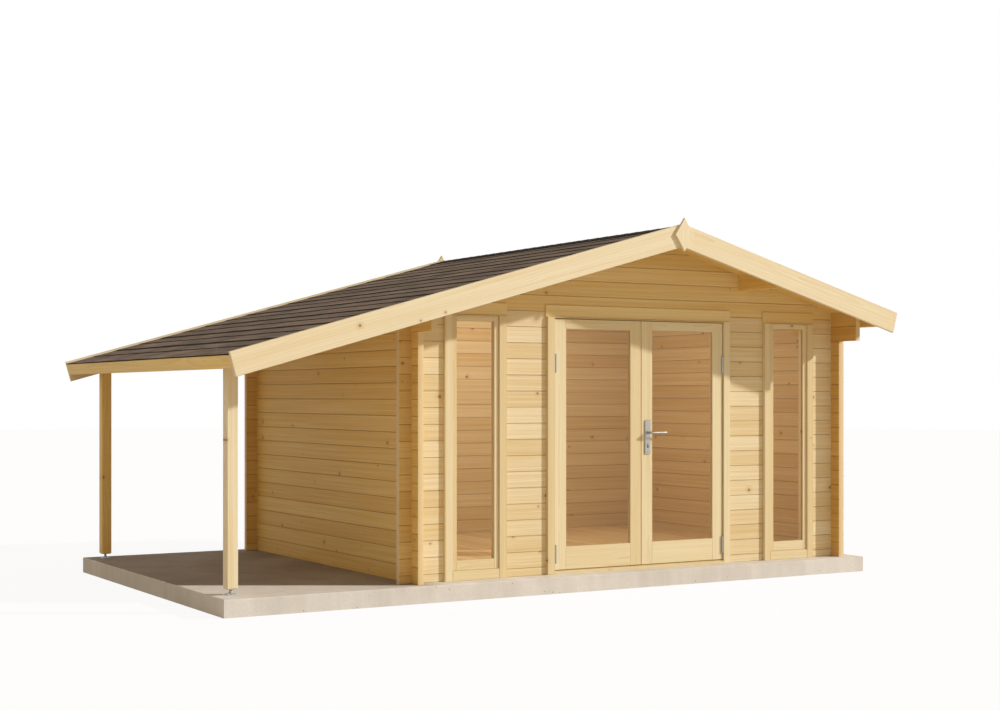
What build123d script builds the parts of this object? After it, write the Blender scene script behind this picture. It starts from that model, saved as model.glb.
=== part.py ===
"""Log-built garden shed with a glazed front and an open lean-to canopy on its left side.

The building is modelled in its own cabin frame: X = 0 on the outer face of the left wall, Y = 0 on the
outer face of the front wall and Z = 0 on top of the concrete slab. Every piece is moved at the end so
that the origin is the centre of the slab's underside. Lengths are in millimetres, angles in degrees.
"""
from build123d import *
import math
import os

# Fits and clearances
seat_gap = 0.3
running_gap = 0.05
swing_gap = 5.0
cut_overrun = 20.0

# Front wall, from a corner to the middle of the door
end_pier_width = 260.0
window_width = 522.0
middle_pier_width = 356.0
door_width = 1736.0

# Cabin and logs
cabin_depth = 2956.0
log_height = 120.0
log_thickness = 45.0
log_chamfer = 5.0
corner_reach = 100.0
full_courses = 16
top_log_height = 110.0
plate_courses = 2
front_plate_reach = 302.0
back_plate_reach = 200.0
notch_share = 0.25

# Foundation slab and floor
slab_thickness = 123.0
slab_front_reach = 182.0
slab_back_reach = 104.0
slab_right_reach = 147.0
slab_post_reach = 139.0
slab_edge_chamfer = 6.0
joist_height = 43.0
joist_width = 45.0
joist_count = 6
floor_thickness = 19.0
floor_wall_gap = 0.3

# Roof
roof_pitch = 15.67
canopy_eave_reach = 241.0
right_eave_reach = 179.0
deck_thickness = 19.0
shingle_thickness = 8.0
shingle_course = 207.0
eave_course = 242.0
shingle_step = 4.0
verge_lip = 14.0
verge_depth = 168.0
verge_thickness = 25.0
front_overhang = 550.0
back_overhang = 277.0
fascia_depth = 90.0
fascia_thickness = 20.0
cap_reach = 150.0
cap_thickness = 5.0
purlin_width = 60.0
purlin_height = 120.0
finial_width = 170.0
finial_height = 255.0
finial_thickness = 20.0
finial_top_reach = 42.0

# Canopy posts
post_size = 80.0
post_centre_reach = 1346.0
post_inset = 60.0
post_foot_height = 45.0
canopy_purlin_height = 112.0
foot_plate_size = 70.0
foot_plate_thickness = 6.0
foot_rod_radius = 10.0

# Frames of the door and windows
casing_width = 65.0
casing_thickness = 25.0
lining_thickness = 25.0
inner_casing_thickness = 25.0
casing_head_height = 8.0
inner_head_overlap = 15.0
header_height = 94.0
header_thickness = 13.0
header_side_reach = 9.0
glass_thickness = 6.0
glass_rebate = 12.0
glass_setback = 8.0

# Windows
window_bottom_rail = 74.0
sash_stile = 36.0
sash_bottom_rail = 70.0
sash_top_rail = 34.0
sash_thickness = 36.0
sash_recess = 13.0

# Double door
sill_height = 27.0
leaf_thickness = 36.0
leaf_recess = 13.0
leaf_stile = 100.0
leaf_top_rail = 69.0
leaf_bottom_rail = 168.0
stop_width = 15.0

# Hinges
hinge_heights = (152.0, 1590.0)
hinge_length = 140.0
knuckle_radius = 7.0
hinge_pin_radius = 4.0
hinge_wing_thickness = 2.0
hinge_wing_width = 32.0
hinge_face_gap = 1.0

# Door lever
lever_height = 1058.0
lever_backset = 55.0
lever_length = 150.0
lever_radius = 9.0
lever_stand_off = 48.0
spindle_radius = 8.0
plate_width = 50.0
plate_length = 266.0
plate_thickness = 8.0
plate_below_lever = 168.0
plate_edge = 3.0
cylinder_radius = 8.5
cylinder_below_lever = 92.0
cylinder_proud = 3.0

# Places worked out from the sizes above
cabin_width = 2 * (end_pier_width + window_width + middle_pier_width) + door_width
ridge_x = cabin_width / 2
left_window_x = end_pier_width + window_width / 2
right_window_x = cabin_width - left_window_x
pitch = math.radians(roof_pitch)
wall_top = full_courses * log_height + top_log_height
ridge_under = wall_top + ridge_x * math.tan(pitch)
right_wall_x = cabin_width - log_thickness
back_wall_y = cabin_depth - log_thickness
half_log = log_height / 2
opening_top = half_log + full_courses * log_height
verge_front = -front_overhang
verge_back = cabin_depth + back_overhang
deck_front = verge_front + verge_thickness + seat_gap
deck_back = verge_back - verge_thickness - seat_gap
shingle_base = deck_thickness
shingle_top = deck_thickness + shingle_thickness
verge_top = shingle_top + verge_lip
left_roof_run = ridge_x + post_centre_reach + canopy_eave_reach
right_roof_run = ridge_x + right_eave_reach
floor_base = joist_height
floor_top = floor_base + floor_thickness
casing_front = -casing_thickness
inner_casing_top = opening_top + inner_head_overlap
frame_opening_top = inner_casing_top - casing_width
casing_top = frame_opening_top + casing_head_height
header_bottom = casing_top + seat_gap
header_top = header_bottom + header_height
casing_overlap = casing_width - lining_thickness
leaf_front = casing_front + leaf_recess
leaf_back = leaf_front + leaf_thickness
sash_front = casing_front + sash_recess
frame_back = log_thickness + inner_casing_thickness
roof_low = -cut_overrun


def box(x0, x1, y0, y1, z0, z1):
    """A rectangular block between two corners."""
    corner = (Align.MIN, Align.MIN, Align.MIN)
    return Pos(x0, y0, z0) * Box(x1 - x0, y1 - y0, z1 - z0, align=corner)


def prism_along_y(points, y0, y1):
    """An outline in X and Z, drawn out from front to back."""
    outline = make_face(Polyline(*points, close=True))
    return Pos(0, y1, 0) * extrude(Plane.XZ * outline, amount=y1 - y0)


def solids_of(shape):
    """The separate solids of a shape, biggest pieces and offcuts alike."""
    return list(shape.solids())


def roof_point(side, along, height):
    """A point of a roof slope: distance down from the ridge line and height above the boards' underside."""
    run = along * math.cos(pitch) + height * math.sin(pitch)
    return ridge_x + side * run, ridge_under - along * math.sin(pitch) + height * math.cos(pitch)


def slope_length(side):
    """The length of a slope from the ridge line to the square-cut end of its verge boards."""
    run = left_roof_run if side < 0 else right_roof_run
    return (run - verge_top * math.sin(pitch)) / math.cos(pitch)


def ridge_cut(height):
    """The slope distance at which a plumb cut beside the ridge meets this height."""
    return (seat_gap / 2 - height * math.sin(pitch)) / math.cos(pitch)


def slope_strip(side, low, high, end):
    """The outline of a layer of one roof slope, plumb at the ridge and square at the eave."""
    return [
        roof_point(side, ridge_cut(low), low),
        roof_point(side, end, low),
        roof_point(side, end, high),
        roof_point(side, ridge_cut(high), high),
    ]


def under_roof(y0, y1):
    """The space under both roof slopes, used to bevel what carries the roof."""
    left = roof_point(-1, slope_length(-1), -seat_gap)
    right = roof_point(1, slope_length(1), -seat_gap)
    top = (ridge_x, ridge_under - seat_gap / math.cos(pitch))
    points = [(left[0], roof_low), (right[0], roof_low), right, top, left]
    return prism_along_y(points, y0, y1)


# Logs and corners

def log_face(low, high):
    """The chamfered section of one log, with a hairline left at its beds."""
    height = high - low - seat_gap
    section = Rectangle(log_thickness, height)
    section = chamfer(section.vertices(), log_chamfer)
    return Pos(log_thickness / 2, low + (high - low) / 2) * section


def log_along_x(x0, x1, y, low, high):
    return Pos(x0, y, 0) * extrude(Plane.YZ * log_face(low, high), amount=x1 - x0)


def log_along_y(x, y0, y1, low, high):
    return Pos(x, y1, 0) * extrude(Plane.XZ * log_face(low, high), amount=y1 - y0)


def notches(x, y, low, high, along_x):
    """The two housings, above and below, where a log crosses one of the other direction."""
    depth = log_height * notch_share
    x0, x1 = x - seat_gap, x + log_thickness + seat_gap
    y0, y1 = y - seat_gap, y + log_thickness + seat_gap
    if along_x:
        y0, y1 = y - cut_overrun, y + log_thickness + cut_overrun
    else:
        x0, x1 = x - cut_overrun, x + log_thickness + cut_overrun
    upper = box(x0, x1, y0, y1, high - depth - seat_gap / 2, high + cut_overrun)
    if high - low < log_height:
        return [upper]
    return [upper, box(x0, x1, y0, y1, low - cut_overrun, low + depth + seat_gap / 2)]


def end_wall_courses():
    """Bed levels of the front and back walls, which start with a half log."""
    levels = [(0, half_log)]
    for course in range(full_courses):
        low = half_log + course * log_height
        levels.append((low, low + log_height))
    return levels


def gable_courses():
    """Bed levels of the logs over the openings, up to the ridge."""
    levels = []
    low = opening_top
    while low < ridge_under - seat_gap:
        levels.append((low, low + log_height))
        low += log_height
    return levels


def end_wall_logs(x0, x1, y, levels, corners):
    """Logs of the front or back wall between two places, notched at the corners that they cross."""
    pieces = []
    for low, high in levels:
        log = log_along_x(x0, x1, y, low, high)
        cuts = []
        for corner_x in corners:
            cuts += notches(corner_x, y, low, high, True)
        pieces.append(log - cuts if cuts else log)
    return pieces


def gable_logs(y):
    """Logs of one gable, cut to the roof slopes and pocketed for the purlins."""
    space = under_roof(y - cut_overrun, y + log_thickness + cut_overrun)
    pockets = []
    for centre in purlin_centres():
        pocket_low = purlin_bottom(centre) - seat_gap
        half = purlin_width / 2 + seat_gap
        pocket_high = ridge_under + cut_overrun
        pockets.append(box(centre - half, centre + half, y - cut_overrun, y + log_thickness + cut_overrun,
                           pocket_low, pocket_high))
    pieces = []
    corners = (0, right_wall_x)
    x0, x1 = -corner_reach, cabin_width + corner_reach
    for log in end_wall_logs(x0, x1, y, gable_courses(), corners):
        pieces += solids_of((log & space) - pockets)
    return [piece for piece in pieces if piece.bounding_box().size.Z > log_chamfer]


def side_wall(x):
    """Logs of a side wall: full logs from the slab up, the top ones drawn out as plates under the roof."""
    pieces = []
    space = under_roof(-front_overhang, cabin_depth + back_overhang)
    courses = full_courses + 1
    for course in range(courses):
        low = course * log_height
        high = low + log_height
        is_plate = course >= courses - plate_courses
        y0 = -front_plate_reach if is_plate else -corner_reach
        y1 = cabin_depth + (back_plate_reach if is_plate else corner_reach)
        is_top = course == courses - 1
        log = log_along_y(x, y0, y1, low, high + (log_height if is_top else 0))
        cuts = []
        for wall_y in (0, back_wall_y):
            cuts += notches(x, wall_y, low, high, False)
        log = log - cuts
        pieces += solids_of(log & space) if is_top else [log]
    return pieces


def front_wall():
    """The four stacks of short logs beside and between the openings of the front wall."""
    levels = end_wall_courses()
    left_window = opening_sides(left_window_x, window_width)
    door = opening_sides(ridge_x, door_width)
    right_window = opening_sides(right_window_x, window_width)
    start, stop = -corner_reach, cabin_width + corner_reach
    return {
        "front_wall_left_end": end_wall_logs(start, left_window[0], 0, levels, (0,)),
        "front_wall_left_pier": end_wall_logs(left_window[1], door[0], 0, levels, ()),
        "front_wall_right_pier": end_wall_logs(door[1], right_window[0], 0, levels, ()),
        "front_wall_right_end": end_wall_logs(right_window[1], stop, 0, levels, (right_wall_x,)),
    }


def opening_sides(centre, width):
    """Where the logs stop at each side of an opening, inside the groove of its frame."""
    half = width / 2 - casing_overlap + seat_gap
    return centre - half, centre + half


# Foundation and floor

def foundation_slab():
    left = -post_centre_reach - slab_post_reach
    slab = box(left, cabin_width + slab_right_reach, -slab_front_reach,
               cabin_depth + slab_back_reach, -slab_thickness, 0)
    return chamfer(slab.edges().group_by(Axis.Z)[-1], slab_edge_chamfer)


def floor_span():
    """The floor's plan inside the walls, clear of the frames and of the closed door."""
    gap = floor_wall_gap
    return log_thickness + gap, right_wall_x - gap, frame_back + gap, back_wall_y - gap


def floor_joists():
    x0, x1, y0, y1 = floor_span()
    pitch_y = (y1 - y0 - joist_width) / (joist_count - 1)
    joists = []
    for index in range(joist_count):
        y = y0 + index * pitch_y
        joists.append(box(x0, x1, y, y + joist_width, 0, joist_height))
    return joists


def floor_boards():
    x0, x1, y0, y1 = floor_span()
    return box(x0, x1, y0, y1, floor_base, floor_top)


# Roof

def purlin_centres():
    return (ridge_x / 2, ridge_x, ridge_x + ridge_x / 2)


def roof_under(x):
    """Height of the roof boards' underside over a place across the cabin."""
    return ridge_under - abs(x - ridge_x) * math.tan(pitch)


def purlin_bottom(centre):
    return roof_under(centre) - purlin_height


def purlin(centre):
    half = purlin_width / 2
    blank = box(centre - half, centre + half, deck_front, deck_back, purlin_bottom(centre),
                ridge_under + cut_overrun)
    return blank & under_roof(deck_front, deck_back)


def roof_deck(side):
    end = slope_length(side) - fascia_thickness - seat_gap
    return prism_along_y(slope_strip(side, 0, deck_thickness, end), deck_front, deck_back)


def shingles(side):
    """Courses of shingles from the eave up, each one lapping over the one below it."""
    base = shingle_base + seat_gap
    top = shingle_top - shingle_step
    end = slope_length(side)
    points = [roof_point(side, ridge_cut(base), base), roof_point(side, end, base)]
    butt = end
    exposure = eave_course
    while butt > exposure:
        points.append(roof_point(side, butt, shingle_top))
        butt -= exposure
        points.append(roof_point(side, butt, top))
        exposure = shingle_course
    points.append(roof_point(side, butt, shingle_top))
    points.append(roof_point(side, ridge_cut(shingle_top), shingle_top))
    return prism_along_y(points, deck_front, deck_back)


def ridge_cap():
    low = shingle_top + seat_gap
    high = low + cap_thickness
    points = [
        roof_point(-1, cap_reach, high),
        (ridge_x, ridge_under + high / math.cos(pitch)),
        roof_point(1, cap_reach, high),
        roof_point(1, cap_reach, low),
        (ridge_x, ridge_under + low / math.cos(pitch)),
        roof_point(-1, cap_reach, low),
    ]
    return prism_along_y(points, deck_front, deck_back)


def verge_boards(y0):
    """A pair of boards that cover the ends of the roof boards, meeting at a plumb joint."""
    pair = []
    for side in (-1, 1):
        points = slope_strip(side, verge_top - verge_depth, verge_top, slope_length(side))
        pair.append(prism_along_y(points, y0, y0 + verge_thickness))
    return pair


def eave_fascia(side):
    """The board along an eave, nailed to the ends of the roof boards between the verge boards."""
    start = slope_length(side) - fascia_thickness
    end = slope_length(side)
    high = shingle_base
    low = high - fascia_depth
    points = [
        roof_point(side, start, low),
        roof_point(side, end, low),
        roof_point(side, end, high),
        roof_point(side, start, high),
    ]
    return prism_along_y(points, deck_front, deck_back)


def finials():
    """Pointed cover plates over the joints of the verge boards."""
    top = ridge_under + verge_top / math.cos(pitch) + finial_top_reach
    middle = top - finial_height / 2
    half = finial_width / 2
    points = [
        (ridge_x, top),
        (ridge_x + half, middle),
        (ridge_x, top - finial_height),
        (ridge_x - half, middle),
    ]
    front = verge_front - seat_gap - finial_thickness
    back = verge_back + seat_gap
    return [
        prism_along_y(points, front, front + finial_thickness),
        prism_along_y(points, back, back + finial_thickness),
    ]


# Canopy

def post_top():
    return roof_under(-post_centre_reach) - canopy_purlin_height


def canopy_purlin():
    half = post_size / 2
    blank = box(-post_centre_reach - half, -post_centre_reach + half, deck_front, deck_back,
                post_top(), ridge_under)
    return blank & under_roof(deck_front, deck_back)


def post_rows():
    return (post_inset, cabin_depth - post_inset)


def post(y):
    half = post_size / 2
    return box(-post_centre_reach - half, -post_centre_reach + half, y - half, y + half,
               post_foot_height, post_top() - seat_gap)


def post_foot(y):
    """A steel foot: a plate on the slab, a stout rod and a plate under the post."""
    half = foot_plate_size / 2
    x0, x1 = -post_centre_reach - half, -post_centre_reach + half
    top = post_foot_height - seat_gap
    base = box(x0, x1, y - half, y + half, 0, foot_plate_thickness)
    head = box(x0, x1, y - half, y + half, top - foot_plate_thickness, top)
    centred = (Align.CENTER, Align.CENTER, Align.MIN)
    rod = Pos(-post_centre_reach, y, 0) * Cylinder(foot_rod_radius, top, align=centred)
    return base + rod + head


# Frames

def wall_frame(centre, width, rail, stop_front):
    """A grooved frame that slips over the log ends: outer casing, lining, inner casing and a stop."""
    half = width / 2
    inner = half - casing_width
    clear_top = frame_opening_top
    stop = stop_width
    outer = box(centre - half, centre + half, casing_front, -seat_gap, 0, casing_top)
    back = box(centre - half, centre + half, log_thickness + seat_gap, frame_back, 0, inner_casing_top)
    lining_half = inner + lining_thickness
    lining = box(centre - lining_half, centre + lining_half, -seat_gap, log_thickness + seat_gap,
                 0, clear_top + lining_thickness)
    body = outer + lining + back
    hole_low = rail if rail else -cut_overrun
    body -= box(centre - inner, centre + inner, casing_front - cut_overrun, stop_front, hole_low, clear_top)
    stop_low = hole_low + stop if rail else hole_low
    return body - box(centre - inner + stop, centre + inner - stop, stop_front - seat_gap,
                      frame_back + cut_overrun, stop_low, clear_top - stop)


def glazed_ring(x0, x1, low, high, y0, depth, stile, bottom_rail, top_rail):
    """A glazed leaf or sash: its frame, grooved for the glass, and the pane in the groove."""
    y1 = y0 + depth
    gx0, gx1 = x0 + stile, x1 - stile
    gz0, gz1 = low + bottom_rail, high - top_rail
    ring = box(x0, x1, y0, y1, low, high)
    ring -= box(gx0, gx1, y0 - cut_overrun, y1 + cut_overrun, gz0, gz1)
    pane_y0 = y0 + glass_setback
    pane_y1 = pane_y0 + glass_thickness
    reach = glass_rebate
    ring -= box(gx0 - reach, gx1 + reach, pane_y0, pane_y1, gz0 - reach, gz1 + reach)
    inset = reach - seat_gap
    pane = box(gx0 - inset, gx1 + inset, pane_y0 + seat_gap, pane_y1 - seat_gap, gz0 - inset, gz1 + inset)
    return ring, pane


def header_board(centre, width):
    """A board on the logs over an opening, which covers the gap above its frame."""
    half = width / 2 + header_side_reach
    return box(centre - half, centre + half, -header_thickness, -seat_gap, header_bottom, header_top)


def window(name, centre):
    """One tall fixed window: frame, sash and pane."""
    stop_front = sash_front + sash_thickness + seat_gap
    frame = wall_frame(centre, window_width, window_bottom_rail, stop_front)
    half = window_width / 2 - casing_width - seat_gap
    low = window_bottom_rail + seat_gap
    high = frame_opening_top - seat_gap
    sash, pane = glazed_ring(centre - half, centre + half, low, high, sash_front, sash_thickness,
                             sash_stile, sash_bottom_rail, sash_top_rail)
    return {name + "_frame": frame, name + "_sash": sash, name + "_glass": pane}


# Double door

door_half = door_width / 2 - casing_width
knuckle_inset = knuckle_radius + hinge_face_gap
hinge_y = leaf_front - knuckle_radius - hinge_face_gap


def hinge_x(side):
    return ridge_x + side * (door_half - knuckle_inset)


def door_frame():
    return wall_frame(ridge_x, door_width, 0, leaf_back + swing_gap)


def door_sill():
    half = door_half - seat_gap
    back = leaf_back + swing_gap - seat_gap
    return box(ridge_x - half, ridge_x + half, casing_front, back, 0, sill_height)


def leaf_span(side):
    """The two sides of a leaf, from its meeting edge to its hinge edge."""
    meeting = ridge_x + side * swing_gap / 2
    hanging = ridge_x + side * (door_half - swing_gap)
    return min(meeting, hanging), max(meeting, hanging)


def leaf(side):
    x0, x1 = leaf_span(side)
    low = sill_height + swing_gap
    high = frame_opening_top - swing_gap
    return glazed_ring(x0, x1, low, high, leaf_front, leaf_thickness, leaf_stile, leaf_bottom_rail,
                       leaf_top_rail)


def upright_cylinder(x, y, low, high, radius):
    centred = (Align.CENTER, Align.CENTER, Align.MIN)
    return Pos(x, y, low) * Cylinder(radius, high - low, align=centred)


def frame_hinge(side, middle):
    """The fixed half of a lift-off hinge: knuckle, pin and a wing on the frame beside the leaf."""
    x = hinge_x(side)
    low = middle - hinge_length / 2
    knuckle = upright_cylinder(x, hinge_y, low, middle, knuckle_radius)
    pin = upright_cylinder(x, hinge_y, low, middle + hinge_length / 2, hinge_pin_radius)
    outer = ridge_x + side * (door_half - seat_gap)
    inner = outer - side * hinge_wing_thickness
    wing = box(min(inner, outer), max(inner, outer), hinge_y, hinge_y + hinge_wing_width, low, middle)
    return knuckle + pin + wing


def leaf_hinge(side, middle):
    """The lift-off half: a bored knuckle with a wing on the leaf's edge."""
    x = hinge_x(side)
    low = middle + seat_gap
    high = middle + hinge_length / 2
    knuckle = upright_cylinder(x, hinge_y, low, high, knuckle_radius)
    inner = ridge_x + side * (door_half - swing_gap + seat_gap)
    outer = inner + side * hinge_wing_thickness
    wing = box(min(inner, outer), max(inner, outer), hinge_y, hinge_y + hinge_wing_width, low, high)
    bore = upright_cylinder(x, hinge_y, low - cut_overrun, high + cut_overrun, hinge_pin_radius + running_gap)
    return knuckle + wing - bore


def lever_x():
    return ridge_x + swing_gap / 2 + lever_backset


def across_cylinder(x, y0, y1, z, radius):
    """A round bar that runs from front to back."""
    centred = (Align.CENTER, Align.CENTER, Align.MIN)
    return Pos(x, y1, z) * Rot(90, 0, 0) * Cylinder(radius, y1 - y0, align=centred)


def handle_plate(y0):
    """A long plate with rounded front edges and a bearing hole for the lever's spindle."""
    x = lever_x()
    low = lever_height - plate_below_lever
    half = plate_width / 2
    plate = box(x - half, x + half, y0, y0 + plate_thickness, low, low + plate_length)
    plate = fillet(plate.edges().filter_by(Axis.Y), plate_edge)
    start, stop = y0 - cut_overrun, y0 + plate_thickness + cut_overrun
    plate -= across_cylinder(x, start, stop, lever_height, spindle_radius + running_gap)
    return plate - across_cylinder(x, start, stop, cylinder_height(), cylinder_radius + seat_gap)


def cylinder_height():
    return lever_height - cylinder_below_lever


def lock_cylinder():
    """The round lock cylinder that shows through both plates."""
    front = leaf_front - plate_thickness - cylinder_proud
    back = leaf_back + plate_thickness + cylinder_proud
    return across_cylinder(lever_x(), front, back, cylinder_height(), cylinder_radius)


def door_lever():
    """The two hand levers on their common spindle."""
    x = lever_x()
    front = leaf_front - plate_thickness - lever_stand_off
    back = leaf_back + plate_thickness + lever_stand_off
    lever = across_cylinder(x, front, back, lever_height, spindle_radius)
    along_x = (Align.CENTER, Align.CENTER, Align.MIN)
    for y in (front, back):
        start = Pos(x, y, lever_height)
        grip = start * Rot(0, 90, 0) * Cylinder(lever_radius, lever_length, align=along_x)
        lever += grip + start * Sphere(lever_radius)
    return lever


def bored_leaf(frame):
    """The active leaf, bored for the spindle and the lock cylinder."""
    start, stop = leaf_front - cut_overrun, leaf_back + cut_overrun
    frame -= across_cylinder(lever_x(), start, stop, lever_height, spindle_radius + hinge_face_gap)
    return frame - across_cylinder(lever_x(), start, stop, cylinder_height(), cylinder_radius + seat_gap)


# The whole building

def building():
    nodes = {
        "foundation_slab": foundation_slab(),
        "floor_joists": floor_joists(),
        "floor_boards": floor_boards(),
        "left_wall": side_wall(0),
        "right_wall": side_wall(right_wall_x),
        "back_wall": end_wall_logs(-corner_reach, cabin_width + corner_reach, back_wall_y,
                                   end_wall_courses(), (0, right_wall_x)) + gable_logs(back_wall_y),
        "front_gable": gable_logs(0),
        "ridge_purlin": purlin(ridge_x),
        "middle_purlins": [purlin(purlin_centres()[0]), purlin(purlin_centres()[-1])],
        "canopy_purlin": canopy_purlin(),
        "front_post": post(post_rows()[0]),
        "back_post": post(post_rows()[1]),
        "post_feet": [post_foot(y) for y in post_rows()],
        "left_roof_boards": roof_deck(-1),
        "right_roof_boards": roof_deck(1),
        "left_shingles": shingles(-1),
        "right_shingles": shingles(1),
        "ridge_cap": ridge_cap(),
        "front_verge_boards": verge_boards(verge_front),
        "back_verge_boards": verge_boards(verge_back - verge_thickness),
        "left_eave_fascia": eave_fascia(-1),
        "right_eave_fascia": eave_fascia(1),
        "finials": finials(),
        "door_frame": door_frame(),
        "door_sill": door_sill(),
        "header_boards": [
            header_board(left_window_x, window_width),
            header_board(ridge_x, door_width),
            header_board(right_window_x, window_width),
        ],
        "frame_hinges": [frame_hinge(side, z) for side in (-1, 1) for z in hinge_heights],
        "left_leaf_hinges": [leaf_hinge(-1, z) for z in hinge_heights],
        "right_leaf_hinges": [leaf_hinge(1, z) for z in hinge_heights],
        "handle_plates": [
            handle_plate(leaf_front - plate_thickness - seat_gap),
            handle_plate(leaf_back + seat_gap),
        ],
        "door_lever": door_lever(),
        "lock_cylinder": lock_cylinder(),
    }
    nodes.update(front_wall())
    nodes.update(window("left_window", left_window_x))
    nodes.update(window("right_window", right_window_x))
    left_leaf, left_pane = leaf(-1)
    right_leaf, right_pane = leaf(1)
    nodes["left_door_leaf"] = left_leaf
    nodes["left_door_glass"] = left_pane
    nodes["right_door_leaf"] = bored_leaf(right_leaf)
    nodes["right_door_glass"] = right_pane
    return nodes


def slab_centre():
    """The centre of the slab's underside, in the cabin frame."""
    x = (cabin_width + slab_right_reach - post_centre_reach - slab_post_reach) / 2
    y = (cabin_depth + slab_back_reach - slab_front_reach) / 2
    return x, y, -slab_thickness


def write_parts():
    os.makedirs("parts", exist_ok=True)
    x, y, z = slab_centre()
    for name, shape in building().items():
        pieces = shape if isinstance(shape, list) else [shape]
        solids = []
        for piece in pieces:
            solids += solids_of(Pos(-x, -y, -z) * piece)
        whole = solids[0] if len(solids) == 1 else Compound(children=solids)
        export_step(whole, os.path.join("parts", name + ".step"))


write_parts()
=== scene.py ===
"""Dresses a log-built garden shed with a lean-to canopy: logs, joinery, roof covering, glass and fittings.

Pieces are built in metres in the cabin's own frame: X from the left wall's outer face, Y from the front
wall's outer face and Z from the top of the slab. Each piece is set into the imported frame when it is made.
"""

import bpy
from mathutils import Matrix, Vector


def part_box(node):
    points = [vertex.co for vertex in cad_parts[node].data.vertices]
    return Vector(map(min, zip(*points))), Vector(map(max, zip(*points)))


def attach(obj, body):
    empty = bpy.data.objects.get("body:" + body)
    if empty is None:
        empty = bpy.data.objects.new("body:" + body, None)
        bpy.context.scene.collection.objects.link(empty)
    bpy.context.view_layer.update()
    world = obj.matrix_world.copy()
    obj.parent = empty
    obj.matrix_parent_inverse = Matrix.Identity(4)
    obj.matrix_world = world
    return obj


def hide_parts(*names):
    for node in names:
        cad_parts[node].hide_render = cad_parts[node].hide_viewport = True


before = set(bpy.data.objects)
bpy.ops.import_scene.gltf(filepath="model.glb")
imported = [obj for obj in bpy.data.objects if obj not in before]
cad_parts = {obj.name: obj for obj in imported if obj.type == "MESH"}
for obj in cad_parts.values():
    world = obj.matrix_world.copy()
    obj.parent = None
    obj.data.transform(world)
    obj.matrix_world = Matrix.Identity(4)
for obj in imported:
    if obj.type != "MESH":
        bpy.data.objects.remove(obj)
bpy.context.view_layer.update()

import math
import random
from functools import partial

import bpy
from mathutils import Vector

bl_info = {
    "name": "Garden shed",
    "version": (1, 0, 0),
    "blender": (4, 5, 0),
    "location": "3D View > Sidebar > Shed",
    "description": "Builds the timber, roof covering, glass and fittings of a log shed",
    "category": "Add Mesh",
}

MM = 0.001
# Pieces that touch are drawn a seat apart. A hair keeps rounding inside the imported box.
SEAT = 0.3 * MM
HAIR = 0.01 * MM
X, Y, Z = Vector((1, 0, 0)), Vector((0, 1, 0)), Vector((0, 0, 1))

# The cabin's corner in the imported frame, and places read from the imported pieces
CORNER = Vector((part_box("left_wall")[0].x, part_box("front_wall_left_end")[0].y,
                 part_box("foundation_slab")[1].z))


def extent(node):
    """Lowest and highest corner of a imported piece, in the cabin's frame."""
    low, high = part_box(node)
    return low - CORNER, high - CORNER


WIDTH = extent("right_wall")[1].x
DEPTH = extent("back_wall")[1].y
LOG_THICKNESS = extent("left_wall")[1].x
LOG_REACH = -extent("back_wall")[0].x
PLATE_ENDS = extent("left_wall")[0].y, extent("left_wall")[1].y
WALL_ENDS = 0.0, DEPTH - LOG_THICKNESS
SIDE_WALLS = 0.0, WIDTH - LOG_THICKNESS
OPENING_TOP = extent("front_gable")[0].z
RIDGE_X = WIDTH / 2
RISE = extent("ridge_purlin")[1].z - extent("left_wall")[1].z
PITCH = math.atan2(RISE, RIDGE_X - LOG_THICKNESS)
COS, SIN, TAN = math.cos(PITCH), math.sin(PITCH), math.tan(PITCH)
RIDGE_UNDER = extent("ridge_purlin")[1].z + SEAT / COS
ROOF_ENDS = extent("left_roof_boards")[0].y, extent("left_roof_boards")[1].y
ROOF_RUN = ROOF_ENDS[1] - ROOF_ENDS[0]
# Thickness of the eave boards and of the pointed plates at the ridge ends
FASCIA = 20 * MM


def above_boards(node):
    """Height of a roof layer's top over the roof boards' underside, square to the slope."""
    return (extent(node)[1].z - RIDGE_UNDER) * COS


DECK = above_boards("left_roof_boards")
SHINGLE_TOP = above_boards("left_shingles")
VERGE_TOP = above_boards("front_verge_boards")
CAP_TOP = above_boards("ridge_cap")


def slope_length(side):
    """Length of a roof slope from the ridge line to the square end of its verge boards."""
    low, high = extent("front_verge_boards")
    run = RIDGE_X - low.x if side < 0 else high.x - RIDGE_X
    return (run - VERGE_TOP * SIN) / COS - HAIR


def roof_under(x):
    """Height of the roof boards' underside over a place across the cabin."""
    return RIDGE_UNDER - abs(x - RIDGE_X) * TAN


def linear(code):
    """Linear RGBA of an sRGB hex colour."""
    parts = [int(code[i:i + 2], 16) / 255 for i in (1, 3, 5)]
    return [p / 12.92 if p <= 0.04045 else ((p + 0.055) / 1.055) ** 2.4 for p in parts] + [1.0]


def number(label, note, default, **kind):
    """A number that a user can change."""
    return bpy.props.FloatProperty(name=label, description=note, default=default, **kind)


def numbers(label, note, default, **kind):
    """A row of numbers that a user can change."""
    size = len(default)
    return bpy.props.FloatVectorProperty(name=label, description=note, default=default, size=size, **kind)


def colour(label, note, code):
    """A colour that a user can change, from its hex value."""
    return numbers(label, note, linear(code), subtype="COLOR", min=0.0, max=1.0)


length = partial(number, unit="LENGTH", precision=4)


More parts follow.
